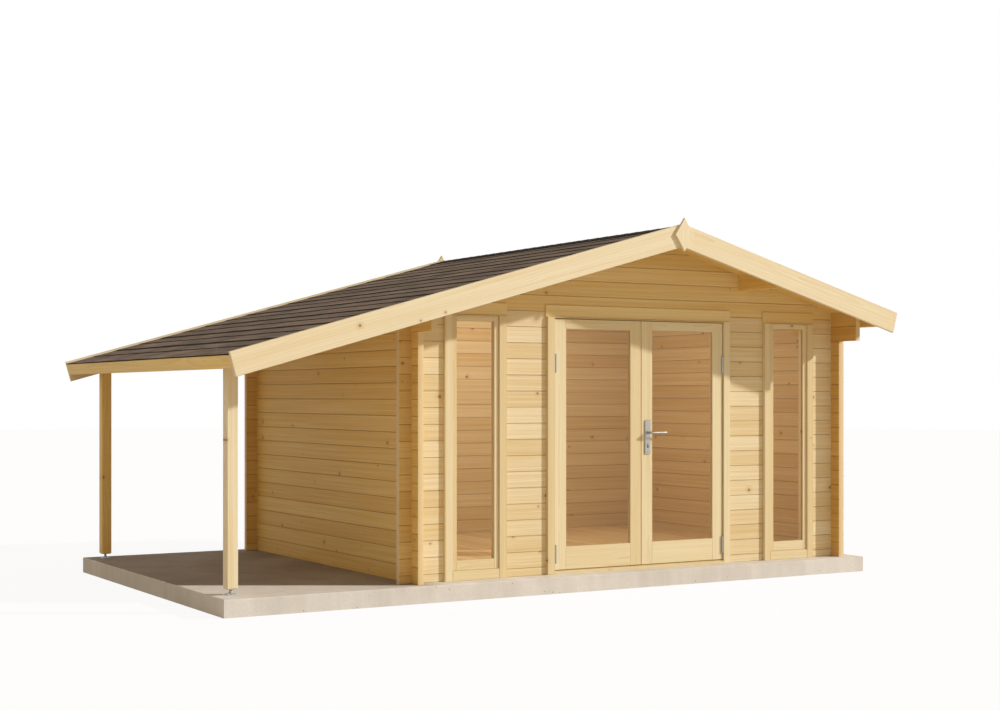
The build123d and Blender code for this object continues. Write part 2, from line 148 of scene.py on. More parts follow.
class ShedSizes(bpy.types.PropertyGroup):
    """Sizes of the boards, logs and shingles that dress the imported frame."""

    log_height: length("Log height", "Height of one full log", 120 * MM)
    bed_chamfer: length("Bed chamfer", "Chamfer along the beds of each log", 3 * MM)
    notch_depth: length("Notch depth", "Depth of a corner notch, above and below", 30 * MM)
    board_ease: length("Board ease", "Easing along the edges of planed boards", 2.5 * MM)
    end_ease: length("End ease", "Easing round the sawn ends of logs and boards", 1.2 * MM)
    roof_board: length("Roof board", "Cover width of one roof board", 113 * MM)
    floor_board: length("Floor board", "Cover width of one floor board", 118 * MM)
    shingle_course: length("Shingle course", "Exposed height of one course of shingles", 204 * MM)
    eave_course: length("Eave course", "Exposed height of the first course at the eave", 242 * MM)
    shingle_tab: length("Shingle tab", "Width of one shingle tab", 333 * MM)
    # Painted shadow bands of dark granule colour under the butts, broad and thin by turns
    shadow_band: length("Shadow band", "Dark granule band under every second butt", 46 * MM)
    thin_band: length("Thin band", "Dark granule band under the butts between", 18 * MM)
    tab_slot: length("Tab slot", "Slot between two tabs", 5 * MM)
    cap_exposure: length("Cap exposure", "Exposed length of one ridge shingle", 142 * MM)
    bead: length("Glazing bead", "Width of the beads round the panes", 5 * MM)


class ShedColours(bpy.types.PropertyGroup):
    """Colours of the timber, roof covering, concrete, steel and glass."""

    early_wood: colour("Early wood", "Pale wood between the ring lines", "#F1E6CA")
    honey_wood: colour("Honey wood", "Warmer streaks along the grain", "#E4CF9F")
    late_wood: colour("Late wood", "Ring lines", "#C99C5E")
    knot_heart: colour("Knot heart", "Middle of a knot", "#AF7C48")
    knot_rim: colour("Knot rim", "Bark-dark rim of a knot", "#734B25")
    end_grain: colour("End grain", "Sawn ends", "#E9D3A8")
    # Painted shade on the chamfers along the log beds
    bed_shade: colour("Bed shade", "Dust-brown chamfers at the log beds", "#8A5A2A")
    granules: colour("Granules", "Mineral granules of the shingles", "#9A8C82")
    dark_granules: colour("Dark granules", "Darker granules and streaks", "#625953")
    bitumen: colour("Bitumen", "Cut edges of the shingles", "#191715")
    concrete: colour("Concrete", "Float-finished concrete", "#E6E4E1")
    damp_concrete: colour("Damp concrete", "Darker clouds and runs", "#C8C3BD")
    # Painted shade on the slab's top under the canopy
    worn_concrete: colour("Worn concrete", "Trodden, damp top of the slab", "#8A8077")
    satin_steel: colour("Satin steel", "Brushed stainless fittings", "#A8A5A0")
    zinc: colour("Zinc", "Hot-dip zinc on the post feet", "#D2D2CF")
    glass_tint: colour("Glass tint", "Faint warm cast of the panes", "#FCF9F3")


class ShedStage(bpy.types.PropertyGroup):
    """Camera, light and floor."""

    camera_place: numbers("Camera place", "Where the camera stands", (-6.6610, -11.6835, 1.4717),
                          subtype="TRANSLATION")
    camera_turn: number("Camera turn", "Turn to the right of straight ahead", math.radians(30.6055),
                        subtype="ANGLE")
    lens: number("Lens", "Focal length on a 36 mm wide sensor", 58.0, unit="CAMERA")
    lift: number("Lift", "Upward shift as a share of the picture's width", 0.0403)
    sun_ray: numbers("Key ray", "The way the key light shines", (-0.778, 0.460, -0.427),
                     subtype="DIRECTION")
    sun_power: number("Key power", "Strength of the key light", 2.8)
    sun_spread: number("Key spread", "Angle that softens the shadows", math.radians(1.6), subtype="ANGLE")
    fill: number("Fill", "Strength of the even light all round", 0.465)
    room_power: number("Room power", "Strength of the soft lamp in the room", 32.0)
    floor_reach: length("Floor reach", "Radius of the pale floor", 60.0)


def sizes():
    return bpy.context.scene.shed_sizes


def colours():
    return bpy.context.scene.shed_colours


# Materials. Each is given add, which adds nodes to its tree. Pattern scales are repeats in a metre.

def add_node(tree, kind, links=None, **settings):
    """Adds a node with its settings, and sets each input to a value or links it to a node or socket."""
    node = tree.nodes.new("ShaderNode" + kind)
    for key, value in settings.items():
        setattr(node, key, value)
    for key, value in (links or {}).items():
        inputs = [s for s in node.inputs if s.enabled and s.name == key]
        socket = node.inputs[key] if isinstance(key, int) else inputs[0]
        if isinstance(value, bpy.types.Node):
            value = next(s for s in value.outputs if s.enabled)
        if isinstance(value, bpy.types.NodeSocket):
            tree.links.new(value, socket)
        else:
            socket.default_value = value
    return node


def planed_spruce(add, timber):
    """Planed spruce: pale early wood between honey ring lines, tight brown knots, a dry low sheen.

    Each board has its own grain, tone and sawn ends. Real rings are about 3 mm apart. They are drawn
    wider here because the picture shows about 7 mm in a pixel.
    """
    knots, ring_mm, ring_share, streak_share, roughness, tint, stub_shade = timber
    paint = colours()
    grain = add("Attribute", attribute_name="grain").outputs["Vector"]
    tone, cut, bed = [add("Attribute", attribute_name=key).outputs["Fac"]
                      for key in ("tone", "cut", "bed")]
    # Knots about 200 mm apart, thinned out by chance, running through the board
    knot_place = add("VectorMath", {0: grain, 1: (4.6, 5.2, 0.0)}, operation="MULTIPLY")
    cells = add("TexVoronoi", {"Vector": knot_place, "Scale": 1.0}, voronoi_dimensions="2D").outputs
    chance = add("SeparateColor", {"Color": cells["Color"]}).outputs
    kept = add("Math", {0: chance[0], 1: knots}, operation="LESS_THAN")
    radius = add("MapRange", {"Value": chance[1], "To Min": 0.018, "To Max": 0.062})
    nearness = add("Math", {0: cells["Distance"], 1: radius}, operation="DIVIDE")
    spots = []
    for edge in (1.15, 4.5):
        disc = add("MapRange", {"Value": nearness, "From Min": edge, "From Max": 0.8},
                   interpolation_type="SMOOTHSTEP")
        spots.append(add("Math", {0: disc, 1: kept}, operation="MULTIPLY"))
    knot, halo = spots
    # The slow sway of the rings, long streaks drawn about 20 mm wide, and fibres about 4 mm apart
    noises = []
    for repeats, detail in (((0.9, 7.0, 7.0), 3.0), ((0.8, 46.0, 46.0), 4.0), ((6.0, 260.0, 260.0), 2.0)):
        place = add("VectorMath", {0: grain, 1: repeats}, operation="MULTIPLY")
        noises.append(add("TexNoise", {"Vector": place, "Scale": 1.0, "Detail": detail}))
    sway, streak, fibre = noises
    # Rings round the pith, swaying along the board and flowing round the knots
    across = add("VectorMath", {0: grain, 1: (0.0, 1.0, 1.0)}, operation="MULTIPLY")
    from_pith = add("VectorMath", {0: across}, operation="LENGTH").outputs["Value"]
    turns = add("Math", {0: from_pith, 1: ring_mm * MM}, operation="DIVIDE")
    swayed = add("Math", {0: sway, 1: 5.0, 2: turns}, operation="MULTIPLY_ADD")
    flowed = add("Math", {0: halo, 1: 1.4, 2: swayed}, operation="MULTIPLY_ADD")
    phase = add("Math", {0: flowed}, operation="FRACT")
    late = add("Math", {0: phase, 1: 2.4}, operation="POWER")
    late_share = add("Math", {0: late, 1: ring_share}, operation="MULTIPLY")
    streaked = add("MapRange", {"Value": streak, "From Min": 0.3, "From Max": 0.7, "To Max": streak_share})
    wood = add("Mix", {"Factor": streaked, "A": paint.early_wood[:], "B": paint.honey_wood[:]},
               data_type="RGBA")
    wood = add("Mix", {"Factor": late_share, "A": wood, "B": paint.late_wood[:]}, data_type="RGBA")
    deep, pale = [[part * share for part, share in zip(tones, tint)] + [1.0]
                  for tones in ((0.94, 0.88, 0.74), (1.05, 1.07, 1.08))]
    shade = add("Mix", {"Factor": tone, "A": deep, "B": pale}, data_type="RGBA")
    wood = add("Mix", {"Factor": 1.0, "A": wood, "B": shade}, data_type="RGBA", blend_type="MULTIPLY",
               clamp_result=True)
    if stub_shade:
        # Painted shade: log ends past the left and front walls are darker, except on faces turned towards the
        # key light
        facing = add("SeparateXYZ", {0: add("NewGeometry").outputs["Normal"]}).outputs["X"]
        turned_from_key = add("Math", {0: facing, 1: 0.5}, operation="LESS_THAN")
        beyond = add("SeparateXYZ", {0: add("TexCoord").outputs["Object"]}).outputs
        past_side = add("Math", {0: beyond["X"], 1: CORNER.x - MM}, operation="LESS_THAN")
        past_front = add("Math", {0: beyond["Y"], 1: CORNER.y - MM}, operation="LESS_THAN")
        past = add("Math", {0: past_side, 1: past_front}, operation="MAXIMUM")
        stub_shade_share = add("Math", {0: past, 1: turned_from_key}, operation="MULTIPLY")
        wood = add("Mix", {"Factor": stub_shade_share, "A": wood, "B": [*stub_shade, 1.0]}, data_type="RGBA",
                   blend_type="MULTIPLY")
    rim = add("MapRange", {"Value": nearness, "From Min": 0.45, "From Max": 0.95},
              interpolation_type="SMOOTHSTEP")
    knot_wood = add("Mix", {"Factor": rim, "A": paint.knot_heart[:], "B": paint.knot_rim[:]},
                    data_type="RGBA")
    # Darker rims round the knots, knots and sawn ends, then painted shade on the bed chamfers
    for cover, most, layer in ((halo, 0.3, paint.late_wood[:]), (knot, 0.85, knot_wood),
                               (cut, 0.8, paint.end_grain[:]), (bed, 0.42, paint.bed_shade[:])):
        share = add("Math", {0: cover, 1: most}, operation="MULTIPLY")
        wood = add("Mix", {"Factor": share, "A": wood, "B": layer}, data_type="RGBA")
    # Fibres stand about 0.2 mm proud of the softer early wood
    relief = add("Math", {0: late, 1: 0.6, 2: fibre}, operation="MULTIPLY_ADD")
    bump = add("Bump", {"Strength": 0.35, "Distance": 0.2 * MM, "Height": relief})
    sheen = add("MapRange", {"Value": streak, "To Min": roughness - 0.06, "To Max": roughness + 0.08})
    return add("BsdfPrincipled", {"Base Color": wood, "Roughness": sheen, "Normal": bump, "IOR": 1.5,
                                  "Specular IOR Level": 0.35})


def granule_shingle(add):
    """Bitumen shingle faced with mineral granules: matt grey-brown, speckled, black where it is cut.

    The granules are about 1 mm. They are drawn about 14 mm wide so that the speckle shows.
    """
    paint = colours()
    place = add("TexCoord").outputs["Object"]
    tone, cut, band = [add("Attribute", attribute_name=key).outputs["Fac"]
                       for key in ("tone", "cut", "bed")]
    speckle = add("TexNoise", {"Vector": place, "Scale": 70.0, "Detail": 3.0, "Roughness": 0.7})
    # Streaks about 55 mm wide and 450 mm long, along the courses
    along = add("VectorMath", {0: place, 1: (18.0, 2.2, 18.0)}, operation="MULTIPLY")
    streak = add("TexNoise", {"Vector": along, "Scale": 1.0, "Detail": 3.0})
    mottle = add("Math", {0: speckle, 1: 0.55, 2: streak}, operation="MULTIPLY_ADD")
    mixed = add("MapRange", {"Value": mottle, "From Min": 0.5, "From Max": 1.05})
    faced = add("Mix", {"Factor": mixed, "A": paint.dark_granules[:], "B": paint.granules[:]},
                data_type="RGBA")
    shade = add("Mix", {"Factor": tone, "A": (0.82, 0.81, 0.80, 1.0), "B": (1.1, 1.08, 1.05, 1.0)},
                data_type="RGBA")
    toned = add("Mix", {"Factor": 1.0, "A": faced, "B": shade}, data_type="RGBA", blend_type="MULTIPLY")
    # Faces marked at a bed take the bitumen colour: the painted shadow bands under the butts, and the
    # near-black ridge shingles
    band_share = add("Math", {0: band, 1: 0.95}, operation="MULTIPLY")
    dark = add("Math", {0: cut, 1: band_share}, operation="MAXIMUM")
    edged = add("Mix", {"Factor": dark, "A": toned, "B": paint.bitumen[:]}, data_type="RGBA")
    bump = add("Bump", {"Strength": 0.6, "Distance": 1.5 * MM, "Height": speckle})
    return add("BsdfPrincipled", {"Base Color": edged, "Normal": bump, "Roughness": 0.95, "IOR": 1.5,
                                  "Specular IOR Level": 0.03})


def float_concrete(add):
    """Float-finished concrete: pale warm grey, cloudy, with pores and faint runs down its sides."""
    paint = colours()
    place = add("TexCoord").outputs["Object"]
    # Clouds about 600 mm wide and runs about 110 mm apart. Real grit is about 2 mm wide. It is drawn
    # about 18 mm wide so that it shows.
    cloud = add("TexNoise", {"Vector": place, "Scale": 1.7, "Detail": 6.0, "Roughness": 0.6})
    grit = add("TexNoise", {"Vector": place, "Scale": 55.0, "Detail": 3.0})
    down = add("VectorMath", {0: place, 1: (9.0, 9.0, 0.6)}, operation="MULTIPLY")
    runs = add("TexNoise", {"Vector": down, "Scale": 1.0, "Detail": 4.0})
    both = add("Math", {0: runs, 1: 0.6, 2: cloud}, operation="MULTIPLY_ADD")
    clouded = add("MapRange", {"Value": both, "From Min": 0.62, "From Max": 1.0, "To Max": 0.6})
    gritted = add("MapRange", {"Value": grit, "From Min": 0.35, "From Max": 0.75, "To Max": 0.25})
    # Pores about 6 mm across, 70 mm apart
    pores = add("TexVoronoi", {"Vector": place, "Scale": 14.0}).outputs["Distance"]
    pore = add("MapRange", {"Value": pores, "From Min": 0.07, "From Max": 0.03},
               interpolation_type="SMOOTHSTEP")
    # Painted shade: the top is darker under the canopy, where the roof shades it, in soft patches
    upward = add("SeparateXYZ", {0: add("NewGeometry").outputs["Normal"]}).outputs["Z"]
    top = add("Math", {0: upward, 1: 0.9}, operation="GREATER_THAN")
    shade_patches = add("MapRange", {"Value": cloud, "From Min": 0.3, "From Max": 0.7, "To Min": 0.75})
    across = add("SeparateXYZ", {0: place}).outputs["X"]
    under = add("MapRange", {"Value": across, "From Min": CORNER.x + 0.25, "From Max": CORNER.x - 0.05},
                interpolation_type="SMOOTHSTEP")
    # The painted shade ends past the corner along the line of the cabin's shadow, beyond which the key light
    # reaches the floor from the front. Inward is square to the key light's path over the floor.
    inward = Vector((0.509, 0.861, 0.0))
    start = inward.dot(CORNER - Vector((LOG_REACH, LOG_REACH, 0.0)))
    from_sun = add("VectorMath", {0: place, 1: inward}, operation="DOT_PRODUCT").outputs["Value"]
    painted_shade = add("MapRange", {"Value": from_sun, "From Min": start - 0.03, "From Max": start + 0.09},
                 interpolation_type="SMOOTHSTEP")
    for share in (under, shade_patches, top):
        painted_shade = add("Math", {0: painted_shade, 1: share}, operation="MULTIPLY")
    face = paint.concrete[:]
    for share, layer in ((clouded, paint.damp_concrete[:]), (gritted, paint.damp_concrete[:]),
                         (pore, linear("#6F6961")), (painted_shade, paint.worn_concrete[:])):
        face = add("Mix", {"Factor": share, "A": face, "B": layer}, data_type="RGBA")
    relief = add("Math", {0: grit, 1: pore}, operation="SUBTRACT")
    bump = add("Bump", {"Strength": 0.5, "Distance": 1.0 * MM, "Height": relief})
    return add("BsdfPrincipled", {"Base Color": face, "Normal": bump, "Roughness": 0.85, "IOR": 1.5,
                                  "Specular IOR Level": 0.3})


def brushed_steel(add):
    """Stainless steel with a satin brush: soft grey highlights drawn out along the brush marks."""
    place = add("TexCoord").outputs["Object"]
    # Brush marks about 1 mm apart and 40 mm long
    along = add("VectorMath", {0: place, 1: (900.0, 900.0, 25.0)}, operation="MULTIPLY")
    marks = add("TexNoise", {"Vector": along, "Scale": 1.0, "Detail": 2.0})
    rough = add("MapRange", {"Value": marks, "To Min": 0.32, "To Max": 0.5})
    bump = add("Bump", {"Strength": 0.2, "Distance": 0.05 * MM, "Height": marks})
    return add("BsdfPrincipled", {"Base Color": colours().satin_steel[:], "Metallic": 1.0,
                                  "Roughness": rough, "Normal": bump})


def galvanised_steel(add):
    """Hot-dip galvanised steel: dull blue-grey zinc with spangles about 12 mm wide."""
    place = add("TexCoord").outputs["Object"]
    spangle = add("TexVoronoi", {"Vector": place, "Scale": 1 / (12 * MM)}).outputs["Color"]
    chance = add("SeparateColor", {"Color": spangle}).outputs
    zinc = colours().zinc[:]
    dull = [part * 0.72 for part in zinc[:3]] + [1.0]
    faced = add("Mix", {"Factor": chance[0], "A": zinc, "B": dull}, data_type="RGBA")
    rough = add("MapRange", {"Value": chance[1], "To Min": 0.38, "To Max": 0.6})
    return add("BsdfPrincipled", {"Base Color": faced, "Metallic": 0.6, "Roughness": rough})


def float_glass(add):
    """Clear float glass: passes light with a faint cast and mirrors more towards a glancing view."""
    mirrored = add("Fresnel", {"IOR": 1.5})
    outer = add("Math", {0: 1.0, 1: add("NewGeometry").outputs["Backfacing"]}, operation="SUBTRACT")
    share = add("Math", {0: mirrored, 1: outer}, operation="MULTIPLY")
    clear = add("BsdfTransparent", {"Color": colours().glass_tint[:]})
    mirror = add("BsdfAnisotropic", {"Roughness": 0.0})
    return add("MixShader", {0: share, 1: clear, 2: mirror})


def shadowed_keyway(add):
    """Painted shade for a keyway: near black, standing for its dark inside, where no light comes back out."""
    place = add("TexCoord").outputs["Object"]
    dust = add("TexNoise", {"Vector": place, "Scale": 1 / (1 * MM)})
    faced = add("Mix", {"Factor": dust, "A": linear("#14110E"), "B": linear("#2A231C")}, data_type="RGBA")
    return add("BsdfPrincipled", {"Base Color": faced, "Roughness": 0.8})


def seen_rays(add):
    """One for what the camera, mirrors and panes show, and nothing for the light that falls on the shed."""
    rays = add("LightPath").outputs
    seen = rays["Is Camera Ray"]
    for kind in ("Is Glossy Ray", "Is Transmission Ray"):
        seen = add("Math", {0: seen, 1: rays[kind]}, operation="ADD", use_clamp=True)
    return seen


def pale_floor(add):
    """A matt white floor. The camera sees it near white, and it keeps a light shadow."""
    seen = seen_rays(add)
    share = add("Math", {0: seen, 1: 0.92}, operation="MULTIPLY")
    tint = add("Mix", {"Factor": seen, "A": linear("#E2DBD0"), "B": linear("#FFFFFF")}, data_type="RGBA")
    matt = add("BsdfDiffuse", {"Color": tint})
    white = add("Emission", {"Strength": 1.0})
    return add("MixShader", {0: share, 1: matt, 2: white})


# Tints of the wood. Pieces under the roof take a deep honey, amber or golden tint, which is painted shade. The
# sunny right wall is toned down against its full key light, and the sanded joinery is a little greyer than
# fresh wood. Log ends past the corners take the deepest painted shade.
FRESH = (1.0, 1.0, 1.0)
SHADE_PAINT = (1.0, 0.83, 0.44)
LIGHT_SHADE_PAINT = (1.0, 0.92, 0.68)
# Painted light: the right wall is toned down because of the full key light that falls on it
SUN_DIMMING = (0.92, 0.87, 0.76)
SANDED = (0.95, 0.94, 0.88)
DEEP_SHADE_PAINT = (0.96, 0.79, 0.34)
STUB_SHADE_PAINT = (0.88, 0.70, 0.40)

# Share of knots kept, ring width in mm, strength of rings and of streaks, roughness, tint, painted shade of log
# ends
TIMBERS = {
    "planed_spruce_logs": (0.2, 13.0, 0.3, 0.9, 0.56, FRESH, STUB_SHADE_PAINT),
    "mellow_spruce_logs": (0.2, 13.0, 0.3, 0.9, 0.56, SUN_DIMMING, STUB_SHADE_PAINT),
    "golden_spruce_logs": (0.2, 13.0, 0.3, 0.9, 0.56, LIGHT_SHADE_PAINT, None),
    "honey_spruce_logs": (0.2, 13.0, 0.3, 0.9, 0.56, SHADE_PAINT, None),
    "planed_spruce_beams": (0.16, 14.0, 0.25, 0.7, 0.55, FRESH, None),
    "honey_spruce_beams": (0.16, 14.0, 0.3, 0.7, 0.55, SHADE_PAINT, None),
    "planed_spruce_trim": (0.1, 16.0, 0.2, 0.55, 0.5, FRESH, None),
    "golden_spruce_trim": (0.1, 16.0, 0.2, 0.55, 0.5, LIGHT_SHADE_PAINT, None),
    "amber_spruce_trim": (0.1, 16.0, 0.25, 0.55, 0.5, DEEP_SHADE_PAINT, None),
    "planed_spruce_joinery": (0.06, 12.0, 0.18, 0.5, 0.5, SANDED, None),
    # The roof boards are seen only from below, in the roof's shade, and their tint is painted shade
    "planed_spruce_roof_boards": (0.22, 13.0, 0.3, 0.9, 0.6, SHADE_PAINT, None),
    "planed_spruce_floor": (0.22, 13.0, 0.3, 0.9, 0.5, FRESH, None),
}
SHINGLE = "granule_faced_bitumen_shingle"
STEEL = "satin_brushed_stainless_steel"
JOINERY = "planed_spruce_joinery"
FINISHES = {
    **{name: partial(planed_spruce, timber=timber) for name, timber in TIMBERS.items()},
    SHINGLE: granule_shingle,
    STEEL: brushed_steel,
    "float_finished_concrete": float_concrete,
    "hot_dip_galvanised_steel": galvanised_steel,
    "clear_float_glass": float_glass,
    "shadowed_keyway": shadowed_keyway,
    "matt_white_floor": pale_floor,
}


def finish(name):
    """The material of that name, made the first time it is asked for."""
    material = bpy.data.materials.get(name)
    if material is None:
        material = bpy.data.materials.new(name)
        material.use_nodes = True
        material.node_tree.nodes.clear()
        add = partial(add_node, material.node_tree)
        add("OutputMaterial", {"Surface": FINISHES[name](add)})
    return material


def refinish(node, name):
    """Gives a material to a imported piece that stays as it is."""
    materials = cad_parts[node].data.materials
    materials.clear()
    materials.append(finish(name))


# Shapes

def drawn_in(outline, eases):
    """An outline with each edge drawn in by its own amount."""
    lines, straight = [], 0.02
    for (a0, b0), (a1, b1), ease in zip(outline, outline[1:] + outline[:1], eases):
        run = math.hypot(a1 - a0, b1 - b0)
        da, db = (a1 - a0) / run, (b1 - b0) / run
        lines.append((a0 - db * ease, b0 + da * ease, da, db))
    corners = []
    for (a0, b0, da0, db0), (a1, b1, da1, db1) in zip(lines[-1:] + lines[:-1], lines):
        turn = da0 * db1 - db0 * da1
        if abs(turn) < straight:
            corners.append((a1, b1))
            continue
        along = ((a1 - a0) * db1 - (b1 - b0) * da1) / turn
        corners.append((a0 + da0 * along, b0 + db0 * along))
    return corners


def chamfered(a0, a1, b0, b1, ease):
    """A rectangle with its four corners cut."""
    return [(a0 + ease, b0), (a1 - ease, b0), (a1, b0 + ease), (a1, b1 - ease),
            (a1 - ease, b1), (a0 + ease, b1), (a0, b1 - ease), (a0, b0 + ease)]


def rounded(a0, a1, b0, b1, radius, steps=6):
    """A rectangle with rounded corners."""
    outline = []
    centres = [(a1 - radius, b0 + radius, -90), (a1 - radius, b1 - radius, 0),
               (a0 + radius, b1 - radius, 90), (a0 + radius, b0 + radius, 180)]
    for a, b, start in centres:
        for step in range(steps + 1):
            turn = math.radians(start + 90 * step / steps)
            outline.append((a + radius * math.cos(turn), b + radius * math.sin(turn)))
    return outline


def circle(place, across, other, radius, sides):
    """A ring of points in the plane of two axes."""
    turns = [2 * math.pi * i / sides for i in range(sides)]
    return [place + (across * math.cos(turn) + other * math.sin(turn)) * radius for turn in turns]


class Bundle:
    """Gathers the closed members of one piece, with grain, tone and cut faces, into one mesh."""

    # Each member takes its grain from its own stretch of wood, off to one side of the pith, in metres
    GRAIN_RANGES = (0, 300.0), (-0.09, 0.02), (0.01, 0.09)
    # Edges flatter than this look smooth, and a face this nearly square to the grain is a sawn end
    SMOOTH_BELOW = math.radians(28)
    SAWN_ABOVE = 0.8

    def __init__(self, seed):
        self.draw = random.Random(seed)
        self.points, self.grain, self.tones = [], [], []
        self.faces, self.cuts, self.beds = [], [], []

    def add_face(self, corners, flip, cut=0.0, bed=0.0):
        """Adds one face and marks it as sawn or at a bed."""
        self.faces.append(corners[::-1] if flip else corners)
        self.cuts.append(cut)
        self.beds.append(bed)

    def skin(self, start, count, layers, flip=False, cap_cut=0.0, marks=None):
        """Closes rings of points: both caps, then the sides, marked as sawn or at a bed."""
        last = start + (layers - 1) * count
        self.add_face(list(range(start, start + count))[::-1], flip, cap_cut)
        self.add_face(list(range(last, last + count)), flip, cap_cut)
        for i in range(count):
            j = (i + 1) % count
            for layer in range(layers - 1):
                low, high = start + layer * count, start + (layer + 1) * count
                cut, bed = marks(i, j, layer) if marks else (0.0, 0.0)
                self.add_face([low + i, low + j, high + j, high + i], flip, cut, bed)

    def member(self, outline, depth, axes, eases=0.0, along=0, trim=None, tone=None):
        """Adds an outline drawn through its depth, with eased edges and its grain along one axis."""
        origin, axis = axes[0], axes[1:]
        easing = eases if isinstance(eases, list) else [eases] * len(outline)
        ease = max(easing)
        layers = [(outline, 0.0), (outline, depth)]
        if ease > 0:
            inner = drawn_in(outline, easing)
            layers = [(inner, 0.0), (outline, ease), (outline, depth - ease), (inner, depth)]
        start, count = len(self.points), len(outline)
        tone = self.draw.random() if tone is None else tone
        shift = [self.draw.uniform(*ends) for ends in self.GRAIN_RANGES]
        for ring, level in layers:
            for a, b in ring:
                place = trim(a, b, level) if trim else (a, b, level)
                self.points.append(origin + axis[0] * place[0] + axis[1] * place[1] + axis[2] * place[2])
                across = [place[i] for i in range(3) if i != along]
                self.grain.append((place[along] + shift[0], across[0] + shift[1], across[1] + shift[2]))
                self.tones.append(tone)

        def marks(i, j, layer):
            da, db = outline[j][0] - outline[i][0], outline[j][1] - outline[i][1]
            sawn = (abs(db), abs(da), 0.0)[along] / math.hypot(da, db) > self.SAWN_ABOVE
            return float(sawn), float(layer != 1 and easing[i] > 0 and not sawn)

        flip = axis[0].cross(axis[1]).dot(axis[2]) < 0
        self.skin(start, count, len(layers), flip, float(along == 2), marks)

    def plank(self, a0, a1, b0, b1, depth, axes, ease):
        """Adds a straight board: grain along its first axis, eased along its edges and ends."""
        end_ease = sizes().end_ease
        self.member([(a0, b0), (a1, b0), (a1, b1), (a0, b1)], depth, axes, [ease, end_ease, ease, end_ease])

    def loft(self, rings):
        """Adds a closed skin over a row of rings with as many points each."""
        start, count = len(self.points), len(rings[0])
        for ring in rings:
            self.points += ring
            self.grain += [tuple(point) for point in ring]
            self.tones += [0.5] * count
        self.skin(start, count, len(rings))

    def turned(self, origin, axis, profile, sides=24):
        """Adds a round piece from (radius, distance along the axis) pairs."""
        across = axis.orthogonal().normalized()
        other = axis.cross(across)
        self.loft([circle(origin + axis * distance, across, other, radius, sides)
                   for radius, distance in profile])

    def piece(self, name, slot, material, node=None, body="cabin"):
        """Makes the piece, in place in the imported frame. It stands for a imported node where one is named."""
        mesh = bpy.data.meshes.new(name)
        mesh.from_pydata([point + CORNER for point in self.points], [], self.faces)
        grain = mesh.attributes.new("grain", "FLOAT_VECTOR", "POINT")
        grain.data.foreach_set("vector", [value for place in self.grain for value in place])
        for key, domain, values in (("tone", "POINT", self.tones), ("cut", "FACE", self.cuts),
                                    ("bed", "FACE", self.beds)):
            mesh.attributes.new(key, "FLOAT", domain).data.foreach_set("value", values)
        mesh.shade_smooth()
        mesh.set_sharp_from_angle(angle=self.SMOOTH_BELOW)
        mesh.materials.append(finish(material))
        piece = bpy.data.objects.new(name, mesh)
        bpy.context.scene.collection.objects.link(piece)
        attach(piece, body)
        if node:
            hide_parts(node)


# Logs

def log_runs(start, end, low, high, crossings, roof, pockets):
    """Stretches of one log as (from, to, bottom, top at each end), split where a pocket cuts it through."""
    stops, least = {start, end}, 2 * MM
    for near, far, _ in crossings + pockets:
        stops |= {near, far}
    if roof:
        for level in (low, high):
            reach = (RIDGE_UNDER - SEAT - level) / TAN
            stops |= {RIDGE_X - reach, RIDGE_X + reach}
        stops.add(RIDGE_X)
    stops = sorted(stop for stop in stops if start <= stop <= end)
    runs, current = [], []
    for near, far in zip(stops, stops[1:]):
        middle = (near + far) / 2
        bottom, top = low, high
        for first, last, depth in crossings:
            if first < middle < last:
                top = high - depth
                bottom = low + depth if high - low > 2 * depth else low
        for first, last, level in pockets:
            if first < middle < last:
                top = min(top, level)
        tops = [min(top, roof_under(x) - SEAT) if roof else top for x in (near, far)]
        if max(tops) - bottom > least:
            current.append((near, far, bottom, max(tops[0], bottom), max(tops[1], bottom)))
        elif current:
            runs.append(current)
            current = []
    return runs + [current] if current else runs


def log_outline(run):
    """The side view of one stretch of log, from its spans, without points that lie close or in line."""
    close, in_line = 0.2 * MM, 1e-9
    under, over = [], []
    for near, far, bottom, top_near, top_far in run:
        under += [(near, bottom), (far, bottom)]
        over += [(near, top_near), (far, top_far)]
    outline = []
    for point in under + over[::-1]:
        if not outline or math.dist(point, outline[-1]) > close:
            outline.append(point)
    while math.dist(outline[0], outline[-1]) < close:
        outline.pop()
    corners = []
    before, after = outline[-1:] + outline[:-1], outline[1:] + outline[:1]
    for (a0, b0), (a1, b1), (a2, b2) in zip(before, outline, after):
        if abs((a1 - a0) * (b2 - b1) - (b1 - b0) * (a2 - a1)) > in_line:
            corners.append((a1, b1))
    return corners


def log_eases(outline, low, high, ends):
    """Chamfer along the beds, a slight ease at the sawn ends and none at notches and roof cuts."""
    eases = []
    for (a0, b0), (a1, b1) in zip(outline, outline[1:] + outline[:1]):
        at_bed = abs(b1 - b0) < HAIR and min(abs(b0 - low), abs(b0 - high)) < MM
        at_end = abs(a1 - a0) < HAIR and min(abs(a0 - ends[0]), abs(a0 - ends[1])) < MM
        eases.append(sizes().bed_chamfer if at_bed else sizes().end_ease if at_end else 0.0)
    return eases


def lay_log(bundle, start, end, low, high, axes, crossings, roof=False, pockets=()):
    """Adds one log, in as many stretches as its pockets leave."""
    low, high = low + SEAT / 2, high - SEAT / 2
    for run in log_runs(start, end, low, high, crossings, roof, list(pockets)):
        outline = log_outline(run)
        bundle.member(outline, LOG_THICKNESS, axes, log_eases(outline, low, high, (start, end)))


def corner_notches(places):
    """Notches of a log where it crosses the walls that start at these places."""
    depth = sizes().notch_depth
    return [(place - SEAT, place + LOG_THICKNESS + SEAT, depth) for place in places]


